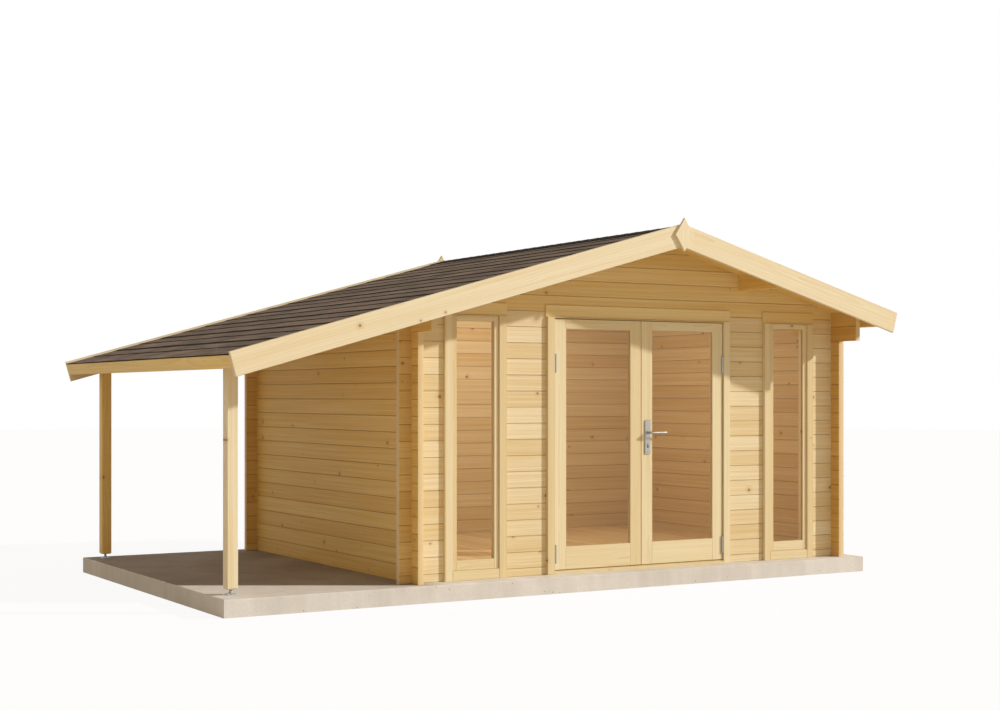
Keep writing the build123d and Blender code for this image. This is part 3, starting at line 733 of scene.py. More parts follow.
def end_wall(bundle, start, end, y):
    """Logs of the front or back wall. The first is half a log, so that the corners interlock."""
    step = sizes().log_height
    notches = corner_notches([x for x in SIDE_WALLS if start < x < end])
    low, high = 0.0, step / 2
    while low < OPENING_TOP - step / 2:
        lay_log(bundle, start, end, low, high, (Y * y, X, Z, Y), notches)
        low, high = high, high + step


def purlins():
    """Each piece of purlins as its node, half its width, its centres and its underside."""
    ridge_low, ridge_high = extent("ridge_purlin")
    middle_low, middle_high = extent("middle_purlins")
    canopy_low, canopy_high = extent("canopy_purlin")
    half, canopy_half = (ridge_high.x - ridge_low.x) / 2, (canopy_high.x - canopy_low.x) / 2
    return (
        ("ridge_purlin", half, [RIDGE_X], ridge_low.z),
        ("middle_purlins", half, [middle_low.x + half, middle_high.x - half], middle_low.z),
        ("canopy_purlin", canopy_half, [canopy_low.x + canopy_half], canopy_low.z),
    )


def gable(bundle, y):
    """Logs over the openings, cut to the roof and open where the ridge and middle purlins pass through."""
    pockets = [(centre - half - SEAT, centre + half + SEAT, bottom - SEAT)
               for _, half, centres, bottom in purlins()[:2] for centre in centres]
    low = OPENING_TOP
    while low < RIDGE_UNDER - 2 * sizes().bed_chamfer:
        high = low + sizes().log_height
        lay_log(bundle, -LOG_REACH, WIDTH + LOG_REACH, low, high, (Y * y, X, Z, Y),
                corner_notches(SIDE_WALLS), True, pockets)
        low = high


def side_wall(bundle, x):
    """Full logs from the slab up. The two top ones run out as plates, the last bevelled to the roof."""
    step, top = sizes().log_height, extent("left_wall")[1].z
    axes, notches = (X * x, Y, Z, X), corner_notches(WALL_ENDS)
    courses = math.ceil(top / step) - (1 if top % step < step / 2 else 0)
    for course in range(courses - 1):
        start, end = PLATE_ENDS if course == courses - 2 else (-LOG_REACH, DEPTH + LOG_REACH)
        lay_log(bundle, start, end, course * step, (course + 1) * step, axes, notches)

    def bevel(a, b, c):
        return a, min(b, roof_under(x + c) - SEAT), c

    start, end = PLATE_ENDS
    low, high = (courses - 1) * step, top + step / 2
    outline = [(start, low)]
    for near, far, depth in notches:
        outline += [(near, low), (near, low + depth), (far, low + depth), (far, low)]
    outline += [(end, low), (end, high), (start, high)]
    bundle.member(outline, LOG_THICKNESS, axes, log_eases(outline, low, low, PLATE_ENDS), trim=bevel)


class SHED_OT_walls(bpy.types.Operator):
    """Stacks the logs of all four walls and both gables, notched where they cross"""
    bl_idname = "shed.walls"
    bl_label = "Log walls"

    def execute(self, context):
        # The left wall under the canopy takes painted shade. The right wall is toned down against its full key
        # light
        sides = (("left_wall", "honey_spruce_logs"), ("right_wall", "mellow_spruce_logs"))
        for seed, ((node, material), x) in enumerate(zip(sides, SIDE_WALLS), 100):
            bundle = Bundle(seed)
            side_wall(bundle, x)
            bundle.piece(node + "_logs", "spruce_logs", material, node)
        bundle = Bundle(110)
        end_wall(bundle, -LOG_REACH, WIDTH + LOG_REACH, WALL_ENDS[1])
        gable(bundle, WALL_ENDS[1])
        bundle.piece("back_wall_logs", "spruce_logs", "planed_spruce_logs", "back_wall")
        # The front gable lies in the roof's shadow and takes a light painted shade
        bundle = Bundle(120)
        gable(bundle, WALL_ENDS[0])
        bundle.piece("front_gable_logs", "spruce_logs", "golden_spruce_logs", "front_gable")
        for seed, stack in enumerate(("left_end", "left_pier", "right_pier", "right_end"), 130):
            node = "front_wall_" + stack
            low, high = extent(node)
            bundle = Bundle(seed)
            end_wall(bundle, low.x, high.x, WALL_ENDS[0])
            bundle.piece(node + "_logs", "spruce_logs", "planed_spruce_logs", node)
        return {"FINISHED"}


# Slab and floor

class SHED_OT_slab(bpy.types.Operator):
    """Casts the slab with a worn, lightly chipped arris"""
    bl_idname = "shed.slab"
    bl_label = "Concrete slab"

    def execute(self, context):
        low, high = extent("foundation_slab")
        wide, deep = high.x - low.x, high.y - low.y
        bundle = Bundle(200)
        spacing, arris, chip_chance = 45 * MM, 6 * MM, 0.05
        in_share, down_share = 0.4, 0.35
        rings = [[], [], [], []]
        for x, y, dx, dy, run in ((low.x, low.y, 1, 0, wide), (high.x, low.y, 0, 1, deep),
                                  (high.x, high.y, -1, 0, wide), (low.x, high.y, 0, -1, deep)):
            count = round(run / spacing)
            for i in range(count):
                wear = arris * bundle.draw.uniform(0.5, 1.2)
                if bundle.draw.random() < chip_chance:
                    wear = arris * bundle.draw.uniform(1.6, 2.6)
                inward = Vector((-dy, dx, 0)) + (Vector((dx, dy, 0)) if i == 0 else Vector())
                rim = Vector((x + dx * run * i / count, y + dy * run * i / count, 0))
                rings[0].append(rim + Z * low.z)
                rings[1].append(rim - Z * wear)
                rings[2].append(rim + inward * wear * in_share - Z * wear * down_share)
                rings[3].append(rim + inward * wear)
        bundle.loft(rings)
        bundle.piece("slab", "concrete", "float_finished_concrete", "foundation_slab")
        return {"FINISHED"}


class SHED_OT_floor(bpy.types.Operator):
    """Lays the floor boards on their joists"""
    bl_idname = "shed.floor"
    bl_label = "Floor"

    def execute(self, context):
        low, high = extent("floor_joists")
        bundle = Bundle(210)
        joist, joists = 45 * MM, 6
        step = (high.y - low.y - joist) / (joists - 1)
        for i in range(joists):
            axes = (Y * (low.y + i * step), X, Z, Y)
            bundle.plank(low.x, high.x, low.z, high.z, joist, axes, sizes().board_ease)
        bundle.piece("joists", "floor_timber", "planed_spruce_floor", "floor_joists")
        low, high = extent("floor_boards")
        bundle = Bundle(211)
        count = round((high.x - low.x) / sizes().floor_board)
        width, joint_ease = (high.x - low.x) / count, 1.5 * MM
        for i in range(count):
            x = low.x + i * width
            bundle.plank(low.y, high.y, x + SEAT, x + width - SEAT, high.z - low.z, (Z * low.z, Y, X, Z),
                         joint_ease)
        bundle.piece("floor_planks", "floor_timber", "planed_spruce_floor", "floor_boards")
        return {"FINISHED"}


# Roof timbers and canopy

class SHED_OT_beams(bpy.types.Operator):
    """Sets the purlins that carry the roof and the canopy"""
    bl_idname = "shed.beams"
    bl_label = "Purlins"

    def execute(self, context):
        for seed, (node, half, centres, bottom) in enumerate(purlins(), 300):
            bundle = Bundle(seed)
            for centre in centres:
                axes = (Y * ROOF_ENDS[0], X, Z, Y)
                bundle.member(self.section(centre, half, bottom), ROOF_RUN, axes, sizes().end_ease, along=2)
            # The purlins lie in the roof's shade and take painted shade
            bundle.piece(node + "_timber", "spruce_beams", "honey_spruce_beams", node)
        return {"FINISHED"}

    def section(self, centre, half, bottom):
        """A beam's section with its lower edges eased and its top bevelled to the roof."""
        ease = 4 * MM
        left, right = centre - half, centre + half
        lower = [(left, bottom + ease), (left + ease, bottom),
                 (right - ease, bottom), (right, bottom + ease)]
        tops = [right, centre, left] if abs(centre - RIDGE_X) < half else [right, left]
        return lower + [(x, roof_under(x) - SEAT) for x in tops]


class SHED_OT_posts(bpy.types.Operator):
    """Stands the canopy posts on their steel feet"""
    bl_idname = "shed.posts"
    bl_label = "Canopy posts"

    def execute(self, context):
        feet, arris, pale = Bundle(320), 5 * MM, 0.9
        # The back post stands in the canopy's shade and takes painted shade
        posts = (("front_post", "planed_spruce_beams"), ("back_post", "honey_spruce_beams"))
        for seed, (node, material) in enumerate(posts, 310):
            low, high = extent(node)
            bundle = Bundle(seed)
            section = chamfered(low.x, high.x, low.y, high.y, arris)
            bundle.member(section, high.z - low.z, (Z * low.z, X, Y, Z), sizes().end_ease, along=2,
                          tone=pale)
            bundle.piece(node + "_timber", "spruce_beams", material, node)
            self.foot(feet, (low.x + high.x) / 2, (low.y + high.y) / 2, extent("post_feet")[1].z)
        feet.piece("post_feet_steel", "galvanised_steel", "hot_dip_galvanised_steel", "post_feet")
        return {"FINISHED"}

    def foot(self, bundle, x, y, top):
        """A base plate with bolts, a threaded rod with its nut and a plate under the post."""
        half, plate, plate_corner, plate_ease = 35 * MM, 6 * MM, 6 * MM, 0.8 * MM
        rod, pitch, nut, nut_height, nut_edge = 10 * MM, 3 * MM, 17 * MM, 11.5 * MM, 1.5 * MM
        bolt, bolt_inset = 6 * MM, 11 * MM
        for z in (0.0, top - plate):
            outline = rounded(x - half, x + half, y - half, y + half, plate_corner)
            bundle.member(outline, plate, (Z * z, X, Y, Z), plate_ease, along=2)
        thread, level = [(rod, plate)], plate
        while level + pitch < top - plate:
            thread += [(rod * 0.9, level + pitch / 2), (rod, level + pitch)]
            level += pitch
        thread.append((rod, top - plate))
        bundle.turned(Vector((x, y, 0)), Z, thread)
        sides = [(0.8 * nut, 0.0), (nut, nut_edge), (nut, nut_height - nut_edge), (0.8 * nut, nut_height)]
        bundle.turned(Vector((x, y, 0)), Z, [(radius, plate + rise) for radius, rise in sides], 6)
        reach = half - bolt_inset
        for dx in (-reach, reach):
            for dy in (-reach, reach):
                bundle.turned(Vector((x + dx, y + dy, plate)), Z,
                              [(bolt, 0.0), (bolt, bolt / 2), (0.75 * bolt, 0.7 * bolt)], 6)


# Roof

def slope_axes(side, y):
    """A roof slope's own frame: down from the ridge line, square out of the boards, and front to back."""
    return Vector((RIDGE_X, y, RIDGE_UNDER)), Vector((side * COS, 0, -SIN)), Vector((side * SIN, 0, COS)), Y


def ridge_cut(height):
    """Where a plumb cut beside the ridge meets this height of a slope."""
    return (SEAT / 2 - height * SIN) / COS


def slope_strip(low, high, end):
    """A layer of a slope: plumb at the ridge and square at the eave."""
    return [(ridge_cut(low), low), (end, low), (end, high), (ridge_cut(high), high)]


def eave_height(z, end):
    """Height over the roof boards' underside, square to the slope, of a level at the slope's end."""
    return (z - RIDGE_UNDER + end * SIN) / COS


class SHED_OT_roof_boards(bpy.types.Operator):
    """Lays the roof boards side by side from ridge to eave"""
    bl_idname = "shed.roof_boards"
    bl_label = "Roof boards"

    def execute(self, context):
        count = round(ROOF_RUN / sizes().roof_board)
        width, under_ease = ROOF_RUN / count, 3 * MM
        for seed, (side, name) in enumerate(((-1, "left_roof_"), (1, "right_roof_")), 400):
            bundle = Bundle(seed)
            strip = slope_strip(0.0, DECK, slope_length(side) - FASCIA - SEAT)
            for i in range(count):
                axes = slope_axes(side, ROOF_ENDS[0] + i * width + SEAT)
                bundle.member(strip, width - 2 * SEAT, axes, [under_ease, 0.0, 0.0, 0.0])
            bundle.piece(name + "planks", "roof_boards", "planed_spruce_roof_boards", name + "boards")
        return {"FINISHED"}


class SHED_OT_shingles(bpy.types.Operator):
    """Lays the shingle courses from each eave up, and the lapped shingles over the ridge"""
    bl_idname = "shed.shingles"
    bl_label = "Shingles"

    def execute(self, context):
        for seed, (side, name) in enumerate(((-1, "left_shingle"), (1, "right_shingle")), 410):
            bundle = Bundle(seed)
            self.slope(bundle, side)
            bundle.piece(name + "_tabs", "bitumen_shingles", SHINGLE, name + "s")
        bundle = Bundle(420)
        self.ridge(bundle)
        bundle.piece("ridge_shingles", "bitumen_shingles", SHINGLE, "ridge_cap")
        return {"FINISHED"}

    def slope(self, bundle, side):
        """Each tab lies on a black felt at its head and on the course below at its butt.

        A painted shadow runs as a dark band just under the butt of the next course up, broad and thin by turns.
        """
        size = sizes()
        felt, felt_inset, lap, least_tab, wander = 1 * MM, 3 * MM, 40 * MM, 10 * MM, 20 * MM
        most_slip, most_sag, highest_seam = 1.5 * MM, 0.4 * MM, 0.95
        base = DECK + felt + 2 * SEAT
        sheet = (SHINGLE_TOP - base) / 2
        butt = slope_length(side)
        exposure, course = size.eave_course, 0
        while butt > size.shingle_course / 2:
            head = max(butt - exposure - lap, ridge_cut(base))
            band = size.shadow_band if course % 2 else size.thin_band
            offset = (course % 2) * size.shingle_tab / 2 + bundle.draw.uniform(-wander, wander)
            start = ROOF_ENDS[0] - offset
            while start < ROOF_ENDS[1]:
                first = max(start, ROOF_ENDS[0])
                last = min(start + size.shingle_tab - size.tab_slot, ROOF_ENDS[1])
                start += size.shingle_tab
                if last - first < least_tab:
                    continue
                slip = bundle.draw.uniform(-most_slip, 0.0) if course else 0.0
                lift = bundle.draw.uniform(-most_sag, 0.0)
                tail, top = (butt + slip, SHINGLE_TOP + lift), (head, base + sheet - SEAT)
                share = min((exposure - band + slip) / (tail[0] - head), highest_seam)
                seam = tuple(low + (high - low) * share for low, high in zip(tail, top))
                seat = base + (sheet if course else 0.0) + SEAT + lift
                outline = [(head, base), (butt + slip, seat), tail, seam, top]
                bundle.member(outline, last - first, slope_axes(side, first))
                bundle.beds[-2] = 1.0
            butt -= exposure
            exposure = size.shingle_course
            course += 1
        sheeting = slope_strip(DECK + SEAT, DECK + SEAT + felt, slope_length(side) - felt_inset)
        bundle.member(sheeting, ROOF_RUN - 2 * MM, slope_axes(side, ROOF_ENDS[0] + MM))
        bundle.beds[-2] = 1.0

    def ridge(self, bundle):
        """Folded shingles lapped from back to front, each one lifted where it lies on the next.

        Their faces are nearly as dark as the bitumen.
        """
        reach, sheet, darkness = 150 * MM, CAP_TOP - SHINGLE_TOP - SEAT, 0.86
        thin_share, lapped_share = 0.55, 1.3
        thin, run = sheet * thin_share, reach * COS
        fall = run * TAN
        outline = [(-run, -fall), (0, 0), (run, -fall), (run, thin - fall), (0, thin), (-run, thin - fall)]
        count = math.ceil(ROOF_RUN / sizes().cap_exposure)
        exposure = ROOF_RUN / count
        lean = (Y * exposure - Z * (sheet - thin)).normalized()
        for i in range(count):
            y = ROOF_ENDS[0] + i * exposure
            tail = min(y + exposure * lapped_share, ROOF_ENDS[1])
            origin = Vector((RIDGE_X, y, RIDGE_UNDER + (SHINGLE_TOP + SEAT) / COS + sheet - thin))
            bundle.member(outline, tail - y, (origin, X, Z, lean), along=2)
            bundle.beds[-len(outline):] = [darkness] * len(outline)


# Trim

class SHED_OT_trim(bpy.types.Operator):
    """Fits the verge boards, eave boards, pointed cover plates and header boards"""
    bl_idname = "shed.trim"
    bl_label = "Trim boards"

    def execute(self, context):
        ease, end_ease = sizes().board_ease, sizes().end_ease
        for seed, name in enumerate(("front_verge_", "back_verge_"), 500):
            low, high = extent(name + "boards")
            bundle = Bundle(seed)
            drop = eave_height(low.z, slope_length(-1))
            for side in (-1, 1):
                strip = slope_strip(drop, VERGE_TOP, slope_length(side))
                bundle.member(strip, high.y - low.y, slope_axes(side, low.y),
                              [ease, end_ease, ease, end_ease])
            bundle.piece(name + "planks", "spruce_trim", "planed_spruce_trim", name + "boards")
        # The left eave board takes a deep painted shade, and the right one takes the lighter painted shade of
        # the gable
        eaves = ((-1, "left_eave_", "amber_spruce_trim"), (1, "right_eave_", "golden_spruce_trim"))
        for seed, (side, name, material) in enumerate(eaves, 510):
            bundle = Bundle(seed)
            low, high = extent(name + "fascia")
            end = slope_length(side)
            origin, down, out, along = slope_axes(side, 0.0)
            axes = (origin + down * (end - FASCIA), along, out, down)
            bundle.plank(low.y, high.y, eave_height(low.z, end), DECK, FASCIA, axes, ease)
            bundle.piece(name + "plank", "spruce_trim", material, name + "fascia")
        self.finials()
        self.drip_boards()
        return {"FINISHED"}

    def finials(self):
        """Pointed plates that cover the joint of the verge boards at both ridge ends."""
        low, high = extent("finials")
        bundle, ease = Bundle(520), 3 * MM
        middle = (low.z + high.z) / 2
        outline = [(low.z, RIDGE_X), (middle, low.x), (high.z, RIDGE_X), (middle, high.x)]
        for y in (low.y, high.y - FASCIA):
            bundle.member(outline, FASCIA, (Y * y, Z, X, Y), ease)
        bundle.piece("finial_plates", "spruce_trim", "planed_spruce_trim", "finials")

    def drip_boards(self):
        """Boards on the logs over the openings, with a sloped top that sheds water."""
        low, high = extent("header_boards")
        bundle = Bundle(530)
        reach = extent("left_window_frame")[0].x - low.x
        slope, ease = 3 * MM, 2 * MM
        section = [(low.y + ease, low.z), (high.y, low.z), (high.y, high.z), (low.y + ease, high.z - slope),
                   (low.y, high.z - slope - ease), (low.y, low.z + ease)]
        for node in ("left_window_frame", "door_frame", "right_window_frame"):
            frame_low, frame_high = extent(node)
            run = frame_high.x - frame_low.x + 2 * reach
            bundle.member(section, run, (X * (frame_low.x - reach), Y, Z, X), sizes().end_ease, along=2)
        # The header boards lie in the roof's shadow and take a light painted shade
        bundle.piece("drip_boards", "spruce_trim", "golden_spruce_trim", "header_boards")


# Joinery

# How far a pane reaches into the grooves round it
REBATE = 11.7 * MM


def grooved(width, depth, near, far, ease):
    """The section of a stile or rail, from its outer edge to the groove that holds the pane."""
    deep = width - REBATE - SEAT
    return [(ease, 0.0), (width - ease, 0.0), (width, ease), (width, near), (deep, near), (deep, far),
            (width, far), (width, depth - ease), (width - ease, depth), (ease, depth), (0.0, depth - ease),
            (0.0, ease)]


def glazed(bundle, node, pane):
    """Stiles and rails of a glazed leaf or sash, with mitred beads round its pane, which gets its glass."""
    low, high = extent(node)
    glass_low, glass_high = extent(pane)
    x0, x1 = glass_low.x + REBATE, glass_high.x - REBATE
    z0, z1 = glass_low.z + REBATE, glass_high.z - REBATE
    tall, wide = high.z - low.z, x1 - x0 - 2 * SEAT
    near, far = glass_low.y - SEAT - low.y, glass_high.y + SEAT - low.y
    section = (high.y - low.y, near, far, sizes().board_ease)
    for width, x, z, run, across, along, ease in (
        (x0 - low.x, low.x, low.z, tall, X, Z, sizes().end_ease),
        (high.x - x1, high.x, low.z, tall, -X, Z, sizes().end_ease),
        (z0 - low.z, x0 + SEAT, low.z, wide, Z, X, 0.0),
        (high.z - z1, x0 + SEAT, high.z, wide, -Z, X, 0.0),
    ):
        axes = (Vector((x, low.y, z)), across, Y, along)
        bundle.member(grooved(width, *section), run, axes, ease, along=2)
    bead, bead_ease, inset, front_rest, back_bead = sizes().bead, 2 * MM, 0.5 * MM, 2.5 * MM, 10 * MM
    for y, inward, depth in ((low.y + near - inset, -Y, near - front_rest),
                             (low.y + far + inset, Y, back_bead)):
        for x, z, along, across, run in ((x0, z0, X, Z, x1 - x0), (x0, z1, X, -Z, x1 - x0),
                                         (x0, z0, Z, X, z1 - z0), (x1, z0, Z, -X, z1 - z0)):
            outline = [(0.0, 0.0), (run, 0.0), (run - bead, bead), (bead, bead)]
            axes = (Vector((x, y, z)), along, across, inward)
            bundle.member(outline, depth, axes, [0.0, 0.0, bead_ease, 0.0])
    refinish(pane, "clear_float_glass")


def casing_boards(bundle, node, inner, top, rail, stop_front):
    """Casings outside and inside, linings between them and stops, round one opening."""
    low, high = extent(node)
    ease, stop_ease, lining, stop = sizes().board_ease, 1.5 * MM, 25 * MM, 15 * MM
    middle = (low.x + high.x) / 2
    outer_top = extent("header_boards")[0].z - SEAT
    front, back = (low.y, -SEAT), (LOG_THICKNESS + SEAT, high.y)
    between, behind = (0.0, LOG_THICKNESS), (stop_front, high.y)
    for side in (-1, 1):
        for reach, bottom, end, (y0, y1), edge in (
            (high.x - middle, 0.0, outer_top, front, ease), (high.x - middle, 0.0, high.z, back, ease),
            (inner + lining, 0.0, top + lining, between, 0.0), (inner - stop, rail, top, behind, stop_ease),
        ):
            near, far = sorted((middle + side * inner, middle + side * reach))
            bundle.plank(bottom, end, near, far, y1 - y0, (Y * y0, Z, X, Y), edge)
    boards = [(0.0, top, outer_top, front, ease), (0.0, top, high.z, back, ease),
              (0.0, top, top + lining, between, 0.0), (stop, top - stop, top, behind, stop_ease)]
    if rail:
        boards += [(0.0, 0.0, rail, (low.y, high.y), ease), (stop, rail, rail + stop, behind, stop_ease)]
    x0, x1 = middle - inner + SEAT, middle + inner - SEAT
    for inset, bottom, end, (y0, y1), edge in boards:
        bundle.plank(x0 + inset, x1 - inset, bottom, end, y1 - y0, (Y * y0, X, Z, Y), edge)


class SHED_OT_windows(bpy.types.Operator):
    """Fits both tall windows: casings, sash, beads and pane"""
    bl_idname = "shed.windows"
    bl_label = "Windows"

    def execute(self, context):
        for seed, name in ((600, "left_window_"), (602, "right_window_")):
            low, high = extent(name + "sash")
            inner = (high.x - low.x) / 2 + SEAT
            bundle = Bundle(seed)
            casing_boards(bundle, name + "frame", inner, high.z + SEAT, low.z - SEAT, high.y + SEAT)
            bundle.piece(name + "casing", "joinery", JOINERY, name + "frame")
            bundle = Bundle(seed + 1)
            glazed(bundle, name + "sash", name + "glass")
            bundle.piece(name + "stiles_and_rails", "joinery", JOINERY, name + "sash")
        return {"FINISHED"}


class SHED_OT_door(bpy.types.Operator):
    """Fits the door: casings, sill and the two glazed leaves"""
    bl_idname = "shed.door"
    bl_label = "Double door"

    def execute(self, context):
        low, high = extent("door_sill")
        leaf_high = extent("left_door_leaf")[1]
        swing, fall, nose = 5 * MM, 7 * MM, 2 * MM
        bundle = Bundle(620)
        inner = (high.x - low.x) / 2 + SEAT
        casing_boards(bundle, "door_frame", inner, leaf_high.z + swing, 0.0, leaf_high.y + swing)
        bundle.piece("door_casing", "joinery", JOINERY, "door_frame")
        bundle = Bundle(621)
        section = [(low.y, 0.0), (high.y, 0.0), (high.y, high.z), (0.0, high.z),
                   (low.y + nose, high.z - fall), (low.y, high.z - fall - nose)]
        bundle.member(section, high.x - low.x, (X * low.x, Y, Z, X), along=2)
        bundle.piece("sill", "joinery", JOINERY, "door_sill")
        for seed, name in enumerate(("left_", "right_"), 630):
            bundle = Bundle(seed)
            glazed(bundle, name + "door_leaf", name + "door_glass")
            bundle.piece(name + "leaf_stiles_and_rails", "joinery", JOINERY, name + "door_leaf",
                         name + "leaf")
        return {"FINISHED"}


# Fittings

class SHED_OT_fittings(bpy.types.Operator):
    """Fits the hinges, handle plates, lever and lock of the door"""
    bl_idname = "shed.fittings"
    bl_label = "Door fittings"

    def execute(self, context):
        for node in ("frame_hinges", "left_leaf_hinges", "right_leaf_hinges"):
            refinish(node, STEEL)
        self.plates()
        self.lever()
        self.cylinder()
        return {"FINISHED"}

    def plates(self):
        """A plate on each face of the leaf, with a collar round the lever and two domed screws."""
        low, high = extent("handle_plates")
        lever_low, lever_high = extent("door_lever")
        bundle = Bundle(710)
        thickness, corner, ease, screw, inset = 8 * MM, 5 * MM, 1.5 * MM, 3.5 * MM, 16 * MM
        collar = [(14 * MM, 0.0), (14 * MM, 2 * MM), (12.5 * MM, 3 * MM)]
        x, z = (low.x + high.x) / 2, (lever_low.z + lever_high.z) / 2
        dome = ((1, 0), (1, 0.25), (0.8, 0.55), (0.35, 0.7))
        head = [(radius * screw, rise * screw) for radius, rise in dome]
        for y, face, outward in ((low.y, low.y, -Y), (high.y - thickness, high.y, Y)):
            outline = rounded(low.x, high.x, low.z, high.z, corner)
            bundle.member(outline, thickness, (Y * y, X, Z, Y), ease, along=2)
            bundle.turned(Vector((x, face, z)), outward, collar, 32)
            for level in (low.z + inset, high.z - inset):
                bundle.turned(Vector((x, face, level)), outward, head, 16)
        bundle.piece("handle_plates_steel", "satin_steel", STEEL, "handle_plates", "right_leaf")

    def lever(self):
        """Two round hand levers, each bent out of its neck and drawn out along the leaf."""
        low, high = extent("door_lever")
        plate_low, plate_high = extent("handle_plates")
        radius, bend, sunk, steps = 9 * MM, 16 * MM, 4 * MM, 8
        x, z, end = low.x + radius, (low.z + high.z) / 2, high.x - radius
        bundle = Bundle(720)
        for y, start, outward in ((low.y + radius, plate_low.y, -1), (high.y - radius, plate_high.y, 1)):
            path = [Vector((x, start - outward * sunk, z))]
            for step in range(steps + 1):
                turn = math.pi / 2 * step / steps
                out, back = bend * (1 - math.cos(turn)), bend * (1 - math.sin(turn))
                path.append(Vector((x + out, y - outward * back, z)))
            path += [Vector((x + bend + (end - x - bend) * share, y, z))
                     for share in (0.25, 0.5, 0.75, 1.0)]
            self.swept(bundle, path, radius)
        bundle.piece("lever_steel", "satin_steel", STEEL, "door_lever", "lever")

    def swept(self, bundle, path, radius, sides=20, steps=6):
        """A round bar along a level path, domed at its end."""
        rings = []
        for i, place in enumerate(path):
            ahead = (path[min(i + 1, len(path) - 1)] - path[max(i - 1, 0)]).normalized()
            rings.append(circle(place, Z.cross(ahead).normalized(), Z, radius, sides))
        ahead = (path[-1] - path[-2]).normalized()
        for step in range(1, steps):
            turn = math.pi / 2 * step / steps
            place = path[-1] + ahead * radius * math.sin(turn)
            rings.append(circle(place, Z.cross(ahead).normalized(), Z, radius * math.cos(turn), sides))
        bundle.loft(rings)

    def cylinder(self):
        """The lock's barrel through the leaf, and thin near-black plates of painted shade for the keyways and
        the holes round it on both faces.
        """
        low, high = extent("lock_cylinder")
        plate_low, plate_high = extent("handle_plates")
        x, z = (low.x + high.x) / 2, (low.z + high.z) / 2
        radius, run, edge = (high.x - low.x) / 2, high.y - low.y, 0.8 * MM
        bundle, keyway = Bundle(730), Bundle(731)
        bundle.turned(Vector((x, low.y, z)), Y, [(radius - edge, 0.0), (radius, edge), (radius, run - edge),
                                                 (radius - edge, run)], 32)
        bundle.piece("cylinder_steel", "satin_steel", STEEL, "lock_cylinder", "right_leaf")
        half, foot, head, corner = 1.6 * MM, 6 * MM, 5 * MM, 1.5 * MM
        proud, depth = 0.1 * MM, 0.4 * MM
        hole_rim, hole_proud, hole_depth = 1.5 * MM, 0.2 * MM, 0.5 * MM
        for y in (low.y - proud, high.y + proud - depth):
            outline = rounded(x - half, x + half, z - foot, z + head, corner)
            keyway.member(outline, depth, (Y * y, X, Z, Y))
        for y in (plate_low.y - hole_proud, plate_high.y + hole_proud - hole_depth):
            keyway.member(self.keyhole(x, z, radius + hole_rim), hole_depth, (Y * y, X, Z, Y))
        keyway.piece("keyway", "satin_steel", "shadowed_keyway", body="right_leaf")

    def keyhole(self, x, z, radius):
        """The pear-shaped outline of the painted shade round a profile cylinder: a round head over a narrow
        foot.
        """
        half, foot, count = 0.62 * radius, 2.6 * radius, 28
        start = math.asin(half / radius)
        outline = [(x - half, z - foot), (x + half, z - foot)]
        for i in range(count + 1):
            turn = start + (2 * math.pi - 2 * start) * i / count - math.pi / 2
            outline.append((x + radius * math.cos(turn), z + radius * math.sin(turn)))
        return outline


# Stage

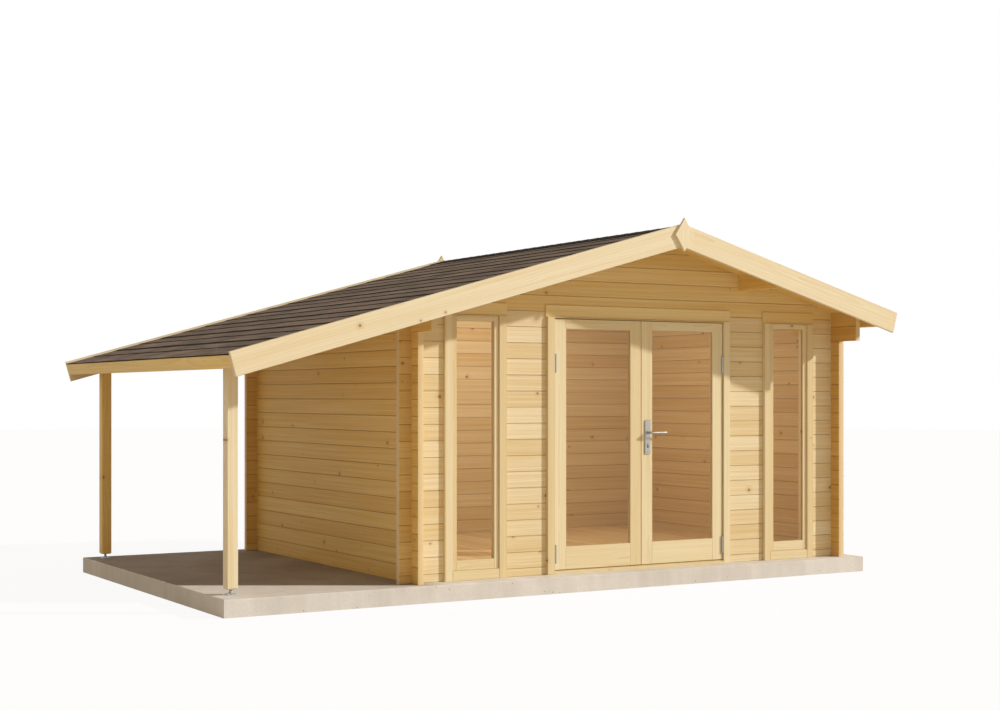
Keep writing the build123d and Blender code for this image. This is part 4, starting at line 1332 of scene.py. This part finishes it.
class SHED_OT_stage(bpy.types.Operator):
    """Sets the pale floor, the soft key light, the even fill and the camera"""
    bl_idname = "shed.stage"
    bl_label = "Stage"

    def execute(self, context):
        scene, stage = context.scene, context.scene.shed_stage
        scene.view_settings.view_transform = "Standard"
        mesh = bpy.data.meshes.new("floor")
        sides, level = 96, -1 * MM
        mesh.from_pydata(circle(Z * level, X, Y, stage.floor_reach, sides), [], [list(range(sides))])
        mesh.materials.append(finish("matt_white_floor"))
        self.placed(scene, "floor", mesh)
        sun = bpy.data.lights.new("key", "SUN")
        sun.energy = stage.sun_power
        sun.angle = stage.sun_spread
        sun.color = linear("#FFFCF6")[:3]
        key = self.placed(scene, "key", sun)
        key.rotation_euler = Vector(stage.sun_ray).to_track_quat("-Z", "Y").to_euler()
        # A soft lamp in the middle of the room lifts its walls
        lamp = bpy.data.lights.new("room", "POINT")
        lamp.shadow_soft_size = 0.4
        lamp.energy = stage.room_power
        room = self.placed(scene, "room", lamp)
        room.location = CORNER + Vector((RIDGE_X, DEPTH / 2, OPENING_TOP))
        room.visible_camera = False
        room.visible_glossy = False
        self.world(scene, stage)
        lens = bpy.data.cameras.new("camera")
        lens.sensor_fit = "HORIZONTAL"
        lens.sensor_width = 36.0
        lens.lens = stage.lens
        lens.shift_y = stage.lift
        lens.clip_end = 500.0
        scene.camera = self.placed(scene, "camera", lens)
        scene.camera.location = stage.camera_place
        scene.camera.rotation_euler = (math.radians(90), 0.0, -stage.camera_turn)
        return {"FINISHED"}

    def placed(self, scene, name, data):
        """An object made from its data and put into the scene."""
        thing = bpy.data.objects.new(name, data)
        scene.collection.objects.link(thing)
        return thing

    def world(self, scene, stage):
        """Even light on the object, plain white to the camera, mirrors and panes."""
        scene.world = bpy.data.worlds.new("studio")
        scene.world.use_nodes = True
        scene.world.node_tree.nodes.clear()
        add = partial(add_node, scene.world.node_tree)
        seen = seen_rays(add)
        strength = add("MapRange", {"Value": seen, "To Min": stage.fill, "To Max": 1.0})
        tint = add("Mix", {"Factor": seen, "A": linear("#FFEBD0"), "B": linear("#FFFFFF")},
                   data_type="RGBA")
        light = add("Background", {"Color": tint, "Strength": strength})
        add("OutputWorld", {"Surface": light})


STEPS = (SHED_OT_slab, SHED_OT_floor, SHED_OT_walls, SHED_OT_beams, SHED_OT_posts, SHED_OT_roof_boards,
         SHED_OT_shingles, SHED_OT_trim, SHED_OT_windows, SHED_OT_door, SHED_OT_fittings, SHED_OT_stage)
GROUPS = {"shed_sizes": ShedSizes, "shed_colours": ShedColours, "shed_stage": ShedStage}


class SHED_PT_panel(bpy.types.Panel):
    """Lists the steps that build the shed"""
    bl_idname = "SHED_PT_panel"
    bl_label = "Garden shed"
    bl_space_type = "VIEW_3D"
    bl_region_type = "UI"
    bl_category = "Shed"

    def draw(self, context):
        for step in STEPS:
            self.layout.operator(step.bl_idname)
        for name, group in GROUPS.items():
            for key in group.__annotations__:
                self.layout.prop(getattr(context.scene, name), key)


def register():
    for name, group in GROUPS.items():
        bpy.utils.register_class(group)
        setattr(bpy.types.Scene, name, bpy.props.PointerProperty(type=group))
    for step in STEPS + (SHED_PT_panel,):
        bpy.utils.register_class(step)


def unregister():
    for step in (SHED_PT_panel,) + STEPS[::-1]:
        bpy.utils.unregister_class(step)
    for name, group in GROUPS.items():
        delattr(bpy.types.Scene, name)
        bpy.utils.unregister_class(group)


def main():
    register()
    bpy.ops.shed.slab()
    bpy.ops.shed.floor()
    bpy.ops.shed.walls()
    bpy.ops.shed.beams()
    bpy.ops.shed.posts()
    bpy.ops.shed.roof_boards()
    bpy.ops.shed.shingles()
    bpy.ops.shed.trim()
    bpy.ops.shed.windows()
    bpy.ops.shed.door()
    bpy.ops.shed.fittings()
    bpy.ops.shed.stage()


if __name__ == "__main__":
    main()
